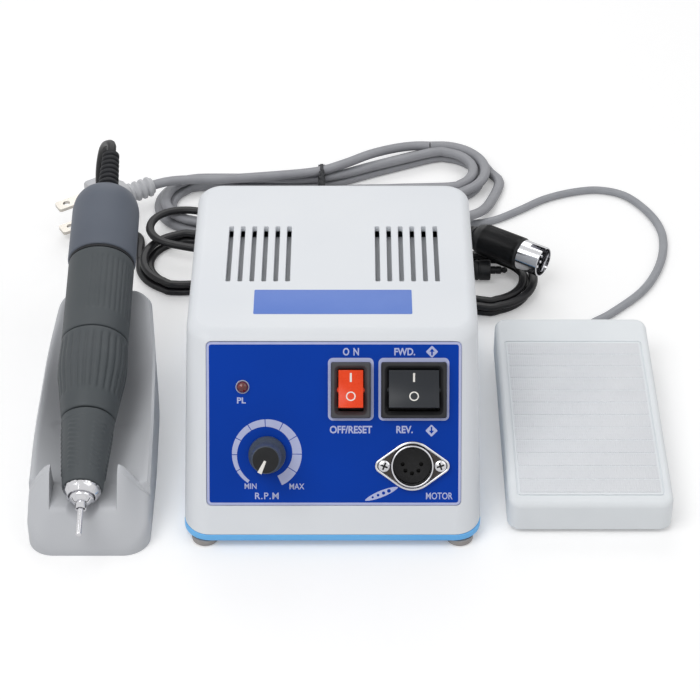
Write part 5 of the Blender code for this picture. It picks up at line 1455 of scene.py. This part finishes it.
cradle = {
    "length": 117, "half": 23.1, "high": 40, "corner": 10, "wall": 3, "edge": 2.6,
    "offset": -1.6,         # the handpiece lies left of the middle
    "nose": 12.5,           # nose sleeve behind the front
    "straight": 18,         # mesh lines run straight this far from the handpiece's line, and then fan out
    "floor": 14, "lip": 3,
    "ridge": 26, "ridgeFront": 19, "ridgeBack": 23, "ridgeFall": 10.4, "ridgeSweep": 4,
    "notchHalf": 12.6, "notchFloor": 15.7, "noseClear": 0.4,
    "rim": ((0, 0.5), (0.20, 0.50), (0.29, 0.60), (0.46, 0.70), (0.72, 0.83), (0.93, 1.0), (1.0, 0.97)),
    "sides": ((0, 1), (0.38, 0.99), (0.72, 0.93), (1.0, 0.76)),
    "saddle": (0.50, 0.89),         # the floor climbs to the handpiece between these shares
    "oval": (17.5, 7.2), "ovalAt": (0, 51), "ovalStep": 0.45,
}
gripTilt = acos(gripAxis.y)


def readTable(table, share, spread):
    # straight between the rows of (place, value), with the corners rounded over the spread
    total = 0
    for k in range(-3, 4):
        spot = min(1, max(0, share + spread * k / 3))
        (a, low), (b, high) = [pair for pair in zip(table, table[1:]) if pair[0][0] <= spot][-1]
        total += low + (high - low) * (spot - a) / (b - a)
    return total / 7


def cornerDrop(distance, radius):
    # how far a rounded edge lies below its corner, at a distance in from it
    share = min(1, max(0, 1 - distance / radius))
    return radius * (1 - sqrt(1 - share ** 2))


def cradleHalf(behind):
    end = max(0, min(behind, cradle["length"] - behind))
    half = cradle["half"] * readTable(cradle["sides"], behind / cradle["length"], 0.06)
    return half - cornerDrop(end, cradle["corner"])


def cradleTop(x, behind):
    # height of the upper surface, x from the middle
    half = cradleHalf(behind)
    share = behind / cradle["length"]
    axisHigh = gripStart.z + (behind - cradle["nose"]) * tan(gripTilt)
    seat = axisHigh - grip["housingRadius"] / cos(gripTilt) - gap
    floor = cradle["floor"] + (seat - cradle["floor"]) * ease((share - cradle["saddle"][0])
                                                              / (cradle["saddle"][1] - cradle["saddle"][0]))
    rim = cradle["high"] * readTable(cradle["rim"], share, 0.05)
    bed = floor + (rim - floor) * min(1, abs(x) / half) ** 2
    oval = hypot((x - cradle["ovalAt"][0]) / cradle["oval"][0],
                 (behind - cradle["ovalAt"][1]) / cradle["oval"][1])
    bed -= cradle["ovalStep"] * ease((1 - oval) / 0.08) * ease((behind - cradle["ovalAt"][1]) / 9 + 0.6)
    aside = abs(x - cradle["offset"])
    outer = max(0, aside - cradle["notchHalf"]) / (cradle["half"] - cradle["notchHalf"] + 1)
    crest = cradle["ridge"] - cradle["ridgeFall"] * ease(outer)
    rise = min(1, behind / cradle["ridgeFront"])
    front = cradle["lip"] + (crest - cradle["lip"]) * rise * (1.25 - 0.25 * rise)
    front -= 0.5 * cornerDrop(abs(crest - front) + abs(behind - cradle["ridgeFront"]), 2)
    inNotch = ease((cradle["notchHalf"] - aside) / 0.3 + 0.5)
    front += (min(front, cradle["notchFloor"]) - front) * inNotch
    behindRidge = ease((behind - cradle["ridgeBack"] + cradle["ridgeSweep"] * min(1, outer) ** 2) / 0.7 + 0.5)
    height = front + (bed - front) * behindRidge
    edge = min(half - abs(x), behind, cradle["length"] - behind)
    height -= cornerDrop(max(0, edge), cradle["edge"]) * 0.8
    station = max(0, behind - cradle["nose"])
    groove = sleeveRadius(station) + cradle["noseClear"]
    if aside < groove and behind < cradle["ridgeBack"] + 2 * cradle["ridgeSweep"]:
        height = min(height, axisHigh - sqrt(groove ** 2 - aside ** 2) / cos(gripTilt))
    return height


def paced(*stretches):
    # places from one end to another, each stretch with a step of its own
    places = [stretches[0][0]]
    for stretch in stretches:
        places += spaced(*stretch)[1:]
    return places


def field(columns, lines, spot, foot):
    # a grid whose points lie where spot puts them, by column and line, closed down to a foot
    bm = bmesh.new()
    bmesh.ops.create_grid(bm, x_segments=len(columns) - 1, y_segments=len(lines) - 1, size=0.5)
    for vert in bm.verts:
        column = columns[round((vert.co.x + 0.5) * (len(columns) - 1))]
        line = lines[round((vert.co.y + 0.5) * (len(lines) - 1))]
        vert.co = spot(column, line)
    edges = [edge for edge in bm.edges if edge.is_boundary]
    sides = bmesh.ops.extrude_edge_only(bm, edges=edges)["geom"]
    low = {part for part in sides if isinstance(part, bmesh.types.BMVert)}
    for vert in low:
        vert.co.z = foot
    rim = [part for part in sides if isinstance(part, bmesh.types.BMEdge) and set(part.verts) <= low]
    bmesh.ops.holes_fill(bm, edges=rim, sides=0)
    bmesh.ops.recalc_face_normals(bm, faces=bm.faces)
    return bm


def makeCradle():
    length, corner, wall, inner = cradle["length"], cradle["corner"], cradle["wall"], cradle["straight"]

    def across(column, half):
        # column runs from -2 to 2: by distance up to 1, and then by share of what is left
        side = 1 if column >= 0 else -1
        reach = min(inner, half - 3 - abs(cradle["offset"]))
        straight = cradle["offset"] + side * min(1, abs(column)) * reach
        return straight + (side * half - straight) * max(0, abs(column) - 1)

    def outerSpot(column, behind):
        x = across(column, cradleHalf(behind))
        return x, behind, cradleTop(x, behind)

    def innerSpot(column, behind):
        x = column * (cradleHalf(behind) - wall)
        near = [cradleTop(x + dx, behind + dy) for dx in (-wall, 0, wall) for dy in (-wall, 0, wall)]
        return x, behind, min(near) - wall
    side = paced((0, 6, 0.75), (6, 9, 0.3), (9, 12, 0.6), (12, 13.2, 0.15), (13.2, inner, 0.6))
    side = [place / inner for place in side]
    side += [2 - cos(radians(90 * k / 9)) for k in range(1, 10)]
    columns = [-place for place in reversed(side[1:])] + side
    bend = [corner * (1 - cos(radians(a))) for a in range(0, 90, 6)]
    far = length - corner
    lines = bend + paced((corner, 17, 0.5), (17, 24.5, 0.3), (24.5, 40, 0.8), (40, 62, 0.4), (62, far, 1.0))
    lines += [length - place for place in reversed(bend)]
    inset = wall + 0.1
    hollowLines = paced((inset, corner, 1.2), (corner, far, 4), (far, length - inset, 1.2))
    low, high = cornersOf("cradle")
    place = Matrix.Translation(((low.x + high.x) / 2, low.y, 0))
    hollow = field([k / 8 for k in range(-8, 9)], hollowLines, innerSpot, -2)
    finishPiece("cradleMoulding", carved(field(columns, lines, outerSpot, 0), hollow), "cradle_grey",
                "console",
                place, ("cradle",), crease=45)


# Pedal

treadle = {
    "width": 62.7, "length": 112, "frontHigh": 14.3, "rearHigh": 18.0, "corner": 5, "crown": 2.0, "wall": 2,
    "skirtFront": 1.5, "skirtRear": 4.3,
    "bands": 12, "bandPitch": 7.4, "bandGap": 0.5, "bandHigh": 0.22, "padInset": 4.6, "padFront": 6.5,
    "grooveInset": 3.3,
    "notchRight": 5.5, "notchHalf": 3.0, "notchTop": 10.1,
    "hinge": (9.5, 7.0),    # behind the front, up
    "bossSetback": 27,
}


def treadleLevel(front, rear, behind):
    return front + (rear - front) * behind / treadle["length"]


def treadleRow(inset, front, rear, drop=0.0):
    corner = max(1.5, treadle["corner"] - inset)
    outline = roundedOutline(treadle["width"] - 2 * inset, treadle["length"] - 2 * inset, corner, 8)
    return [(x, y + treadle["length"] / 2, treadleLevel(front, rear, y + treadle["length"] / 2) - drop)
            for x, y in outline]


def makeTreadle():
    low, high = cornersOf("pedal_treadle")
    place = Matrix.Translation(((low.x + high.x) / 2, low.y, 0))
    front, rear, crown = treadle["frontHigh"], treadle["rearHigh"], treadle["crown"]
    outline = [treadleRow(0.5, treadle["skirtFront"], treadle["skirtRear"]),
               treadleRow(0.15, treadle["skirtFront"], treadle["skirtRear"], -0.15),
               treadleRow(0, treadle["skirtFront"], treadle["skirtRear"], -0.5)]
    outline += [treadleRow(crown * (1 - cos(radians(a))), front, rear, crown * (1 - sin(radians(a))))
                for a in range(0, 91, 15)]
    wall = treadle["wall"]
    hollow = stacked([treadleRow(wall, -3, -3), treadleRow(wall, front, rear, wall + 1),
                      treadleRow(wall + 1, front, rear, wall)])
    left, right = [treadle["notchRight"] + side * treadle["notchHalf"] for side in (-1, 1)]
    notch = block((left, treadle["length"] - 5, -4), (right, treadle["length"] + 3, treadle["notchTop"]), 0.8)
    slope = Matrix.Rotation(atan2(rear - front, treadle["length"]), 4, "X")
    slope.translation = Vector((0, 0, front))
    length = treadle["bands"] * treadle["bandPitch"] + 3
    groove = frameLine(treadle["width"] - 2 * treadle["grooveInset"], length, 1.5, 0.6, -0.45, 1)
    moved(groove, 0, treadle["padFront"] - 1.5 + length / 2, place=slope)
    pin = turn(disc(1.5 + gap, -40, 40, steps=32), pi / 2, "Y")
    moved(pin, 0, treadle["hinge"][0], treadle["hinge"][1])
    boss = moved(disc(3, 12.8, 15.2), 0, treadle["length"] - treadle["bossSetback"])
    shell = carved(carved(stacked(outline), hollow, notch, groove, pin), boss, operation="UNION")
    finishPiece("treadle", shell, "pedal_grey", "treadle", place, ("pedal_treadle",), even=True)
    bands = []
    across = treadle["width"] - 2 * treadle["padInset"]
    for k in range(treadle["bands"]):
        middle = treadle["padFront"] + (k + 0.5) * treadle["bandPitch"]
        band = plate(across, treadle["bandPitch"] - treadle["bandGap"], 0.6, -0.1, treadle["bandHigh"],
                     0.12, 4)
        bands.append(moved(band, 0, middle))
    finishPiece("treadlePad", moved(merged(*bands), place=slope), "pedal_pad", "treadle", place,
                slot="pedal_grey")


# Rear fittings

rear = {
    "glandFlange": 7.5, "glandFlangeThick": 2.7, "glandNeck": 4.7, "glandLength": 21.8, "glandRoot": 5.4,
    "glandTip": 3.4, "glandRibs": 4,
    "fuseFlange": 7.5, "fuseFlangeThick": 2, "fuseBarrel": 5.6, "fuseBore": 4, "fuseDepth": 22,
    "fuseCap": 6, "fuseCapHigh": 5.5, "fuseKnurls": 24,
    "jackFlange": 5.5, "jackFlangeThick": 2, "jackBarrel": 3.9, "jackBore": 1.85, "jackDepth": 9,
}


def ribbedTail(start, end, root, tip, ribs, depth=0.78):
    # outer points of a tapering tail with soft grooves
    pitch = (end - start) / ribs
    points = []
    for k in range(ribs):
        base = start + pitch * k
        size = root + (tip - root) * (k + 0.5) / ribs
        points += [(size * depth, base + 0.12 * pitch), (size * depth, base + 0.3 * pitch),
                   (size * 0.94, base + 0.4 * pitch), (size, base + 0.5 * pitch), (size, base + 0.8 * pitch),
                   (size * 0.94, base + 0.92 * pitch)]
    return points


def barrel(kind, edge, mouth=0):
    # a flanged barrel with a blind bore
    flange, outer, bore, depth = [rear[kind + part] for part in ("Flange", "Barrel", "Bore", "Depth")]
    face, floor = gap + rear[kind + "FlangeThick"], bore - depth
    profile = [(0, -depth), (outer, -depth), (outer, gap), (flange, gap),
               *arc(flange - edge, face - edge, edge, 0, 90)]
    if mouth:
        profile.append((bore + mouth, face))
    return lathe(profile + [(bore, face - mouth), (bore, floor), (0, floor)])


def makeRearFittings():
    flange, thick, neck = rear["glandFlange"], rear["glandFlangeThick"], rear["glandNeck"]
    wall = unit["wall"] + gap
    tip, length = rear["glandTip"], rear["glandLength"]
    profile = [(0, -wall - thick), (flange, -wall - thick), (flange, -wall), (neck, -wall), (neck, gap),
               (flange, gap), *arc(flange - 0.6, gap + thick - 0.6, 0.6, 0, 90)]
    profile += ribbedTail(thick + gap, length - 0.4, rear["glandRoot"], tip, rear["glandRibs"])
    profile += [(tip, length - 0.4), (tip * 0.85, length), (0, length)]
    finishPiece("mainsGland", lathe(profile, 56), "grey_rubber", "console", rearPlace("mains_gland"),
                ("mains_gland",), crease=50)

    finishPiece("fuseHolder", barrel("fuse", 0.4), "black_plastic", "console", rearPlace("fuse_holder"),
                ("fuse_holder",))

    bore, face = rear["fuseBore"], gap + rear["fuseFlangeThick"]
    floor = bore - rear["fuseDepth"]
    head = face + gap
    radius, top = rear["fuseCap"], head + rear["fuseCapHigh"]
    profile = [(0, floor + gap), (bore - gap, floor + gap), (bore - gap, head), (radius - 0.2, head),
               (radius, head + 0.3), (radius, top - 0.5), *arc(radius - 0.5, top - 0.5, 0.5, 15, 90),
               (0, top)]
    cap = lathe(profile, 8 * rear["fuseKnurls"])

    def knurl(spot, angle, height):
        near = fade(height, head + 0.5, top - 0.7, 0.4) if spot > radius - 0.1 else 0
        return spot - 0.25 * near * (0.5 + 0.5 * cos(rear["fuseKnurls"] * angle))
    slot = block((-4.2, -0.7, top - 1.65), (4.2, 0.7, top + 1))
    finishPiece("fuseCap", carved(reshape(cap, knurl), slot), "black_plastic", "fuse_cap",
                rearPlace("fuse_cap"), ("fuse_cap",), even=True)
    finishPiece("pedalJack", barrel("jack", 0.3, 0.4), "black_plastic", "console", rearPlace("pedal_jack"),
                ("pedal_jack",))


# Plugs

plug = {
    "dinStart": (49.2, 106.3, 16), "dinHeading": (0.0082, -0.0056, 0), "dinRadius": 7.1, "dinLength": 30,
    "dinTail": 3.3, "dinShell": 6.6, "dinShellBore": 6, "dinShellLength": 10.3, "dinSpigot": 5.5, "dinWeb": 2,
    "mainsStart": (-90, 146.5, 13.6), "mainsHeading": (-0.087, -0.050, -0.006),
    # share of the length, of the thickness and of the height, from the relief to the face
    "mainsShares": ((0.42, 0.66, 0.5), (0.47, 0.72, 0.58), (0.53, 0.8, 0.72), (0.58, 0.9, 0.86),
                    (0.64, 0.96, 0.95), (0.7, 1, 1), (0.96, 1, 1), (0.985, 0.985, 0.99), (1, 0.94, 0.96)),
    "mainsHigh": 22.4, "mainsThick": 15, "mainsCorner": 3.6, "mainsLength": 30, "reliefLength": 12,
    "relief": 4.6,
    "bladePitch": 12.7, "bladeWidth": 6.35, "bladeThick": 1.5, "bladeLength": 16.5, "bladeRoot": 4.7,
    "pedalStart": (52, 93.2, 4.6), "pedalRadius": 4.5, "pedalLength": 8.7, "pedalTail": 2.5,
    "pinRadius": 1.75,
    "pinLength": 7.5,
}


def plugPlace(start, heading):
    heading = Vector(heading).normalized()
    place = heading.to_track_quat("Z", "Y").to_matrix().to_4x4()
    place.translation = Vector(start) + heading * gap
    return place


def makePlugs():
    place = plugPlace(plug["dinStart"], plug["dinHeading"])
    radius, length, tail = plug["dinRadius"], plug["dinLength"], plug["dinTail"]
    bore, start = plug["dinSpigot"] + gap, length - 4 - gap
    profile = [(0, 0), (tail - 0.2, 0), (tail, 0.3)]
    profile += ribbedTail(0.4, 6.4, tail, tail + 1.2, 3, 0.82)
    profile += [(radius * 0.72, 7.1), (radius * 0.82, 7.6), (radius * 0.95, 9.6)]
    profile += [(radius, 11 + (length - 12) * k / 24) for k in range(1, 25)]
    profile += [(radius, 11), (radius, length - 0.5), (radius - 0.5, length), (bore, length), (bore, start),
                (0, start)]

    def hold(spot, angle, height):
        near = fade(height, 13, length - 2.5, 0.7) if spot > radius - 0.1 else 0
        return spot - 0.3 * near * (0.5 + 0.5 * cos(20 * angle))
    dinBody = finishPiece("dinPlugBody", reshape(lathe(profile, 160), hold), "black_plastic", "console",
                          place, ("din_plug",), crease=45)
    outer, inner = plug["dinShell"], plug["dinShellBore"]
    end = length + gap + plug["dinShellLength"]
    web = length + gap + plug["dinWeb"]
    profile = [(0, start + gap), (plug["dinSpigot"], start + gap), (plug["dinSpigot"], length + gap),
               (outer, length + gap), *arc(outer - 0.2, end - 0.2, 0.2, 0, 90), (inner, end), (inner, web),
               (0, web)]
    shell = lathe(profile, 72)
    key = block((-1.3, outer - 1.5, web + 2), (1.3, outer + 1, end + 1))
    turns = [radians(45 * k) for k in range(5)]
    pins = [moved(disc(0.7, web - 0.5, end - 2.5, 0.3, 20), 3.5 * cos(a), -3.5 * sin(a)) for a in turns]
    dinShell = finishPiece("dinPlugShell", merged(carved(shell, key), *pins), "chrome", "console", place,
                           ("din_shell",), even=True)

    place = plugPlace(plug["mainsStart"], plug["mainsHeading"])
    length, corner = plug["mainsLength"], plug["mainsCorner"]
    relief = [(3.5, 0)] + ribbedTail(0, plug["reliefLength"], plug["relief"], plug["relief"], 4)
    sections = [(2 * radius, 2 * radius, radius * 0.98, level) for radius, level in relief]
    for share, wide, high in plug["mainsShares"]:
        sections.append((plug["mainsThick"] * wide, plug["mainsHigh"] * high, corner * min(1, wide),
                         length * share))
    body = stacked([[(x, y, level) for x, y in roundedOutline(wide, high, bend)]
                    for wide, high, bend, level in sections])
    slots, hollows = [], []
    for side in (-1, 1):
        half, thick = plug["bladeWidth"] / 2 + gap, plug["bladeThick"] / 2 + gap
        across = side * plug["bladePitch"] / 2
        slots.append(block((-half, across - thick, length - 5), (half, across + thick, length + 2)))
        hollow = turn(plate(10, 7.5, 1.6, -1, 1, 0.3), pi / 2, "Y")
        hollows.append(moved(hollow, side * (plug["mainsThick"] / 2 + 0.45), 0, length * 0.83))
    mainsBody = finishPiece("mainsPlugBody", carved(body, merged(*slots), *hollows), "plug_grey", "console",
                            place, ("mains_plug",), slot="cord_grey", even=True)
    blades = []
    for k, side in enumerate((-1, 1), 1):
        half, thick = plug["bladeWidth"] / 2, plug["bladeThick"] / 2
        tip = length + plug["bladeLength"]
        root = length - plug["bladeRoot"]
        rounded = arc(half - 1.2, tip - 1.2, 1.2, 0, 90) + arc(-half + 1.2, tip - 1.2, 1.2, 90, 180)
        bm = prism([(-half, root), (half, root)] + rounded, -thick, thick)
        hole = moved(disc(1.6, -2, 2, steps=32), 0, tip - 4.6)
        bm = carved(bm, hole)
        upright = Matrix.Rotation(pi / 2, 4, "X")
        bm.transform(Matrix.Translation((0, side * plug["bladePitch"] / 2, 0)) @ upright)
        blades.append(finishPiece(f"mainsPlugBlade{k}", bm, "blade", "console", place, (f"mains_blade_{k}",),
                                  slot="steel", even=True))

    place = plugPlace(plug["pedalStart"], (1, 0, 0))
    radius, length, pin = plug["pedalRadius"], plug["pedalLength"], plug["pinRadius"]
    end = length + plug["pinLength"]
    profile = [(0, 0), (plug["pedalTail"], 0), (radius - 0.6, 1.6), (radius, 2.3), (radius, 3.2),
               (radius - 0.3, 3.5),
               (radius - 0.3, 3.9), (radius, 4.2), (radius, length - 0.3), (radius - 0.3, length),
               (pin, length),
               (pin, length + 2.2), (pin - 0.15, length + 2.3), (pin - 0.15, length + 2.6),
               (pin, length + 2.7),
               (pin, end - 3), (pin * 0.6, end - 2.4), (pin * 0.85, end - 1.2), (pin * 0.35, end), (0, end)]
    pedalBody = finishPiece("pedalPlugBody", lathe(profile, 56), "black_plastic", "console", place,
                            ("pedal_plug",))
    return [mainsBody, *blades], [dinBody, dinShell], [pedalBody]


# Twist ties round the folded cords, and the pedal's small parts

ties = {"width": 3.4, "thick": 0.5, "corner": 2.4, "sink": 0.9, "twists": 2.5, "tail": 14}


def makeTie(name, node, x):
    # a flat band round the waist of a folded cord, with its two ends twisted together on top
    spots = [vert.co / mm for vert in frame["nodes"][node].data.vertices]
    near = [spot for spot in spots if abs(spot.x - x) < 5]
    front, back = min(spot.y for spot in near) - 0.4, max(spot.y for spot in near) + 0.4
    high = max(spot.z for spot in near) - ties["sink"]
    width, thick, corner = ties["width"], ties["thick"], ties["corner"]
    band = frameLine(back - front, high, corner, thick, -width / 2, width / 2, 0.15)
    middle = Vector((x, (front + back) / 2, high / 2))
    band.transform(frameOf(Vector((0, 1, 0)), Vector((0, 0, 1)), Vector((1, 0, 0)), middle))
    tails = []
    for side in (-1, 1):
        points = []
        for k in range(25):
            share = k / 24
            angle = 2 * pi * ties["twists"] * min(share, 0.7) + (side - 1) * pi / 2
            apart = 0.55 + 1.6 * max(0, share - 0.7) / 0.3
            points.append(Vector((x + apart * cos(angle), front + 4 + ties["tail"] * share,
                                  high + 0.7 + 0.5 * sin(angle) + 2.2 * sin(pi * share * 0.6))))
        tails.append(sweep(points, [(-0.75, -0.2), (0.75, -0.2), (0.75, 0.2), (-0.75, 0.2)]))
    finishPiece(name, merged(band, *tails), "tie", "console", None, slot="black_rubber")


def makePedalGland():
    _, high = cornersOf("pedal_base")
    place = frameOf(Vector((-1, 0, 0)), Vector((0, 0, 1)), Vector((0, 1, 0)), Vector((96.4, 0, 4)))
    profile = [(2.41, 38), (2.75, 38), (2.75, high.y - 2), *arc(2.45, high.y - 0.3, 0.3, 0, 90),
               (2.41, high.y)]
    finishPiece("pedalGlandSleeve", lathe(profile, 40, ring=True), "pedal_grey", "console", place)


makeFinishes()
dressNodes()
print("finishes made")
makeStudio()
print("camera, lights and floor placed")
makeShell()
makeBase()
print("control unit made")
makeLabel()
makeSwitch("power", "red_rocker", "red_rocker")
makeSwitch("direction", "direction_key", "black_plastic")
makeLamp()
makeKnob()
makeSocket()
makeRearFittings()
print("label, switches and fittings made")
makeNose()
makeChuckRing()
makeHousing()
makeRearSleeve()
makeCollet()
print("handpiece made")
makeCradle()
makeTreadle()
makePedalGland()
print("cradle and pedal made")
plugPieces = makePlugs()
cordGroups = makeCords()
makeTie("mainsTie", "mains_hank", -13.5)
makeTie("motorTie", "motor_hank", -7)
declareCords(cordGroups, plugPieces)
print("cords laid")
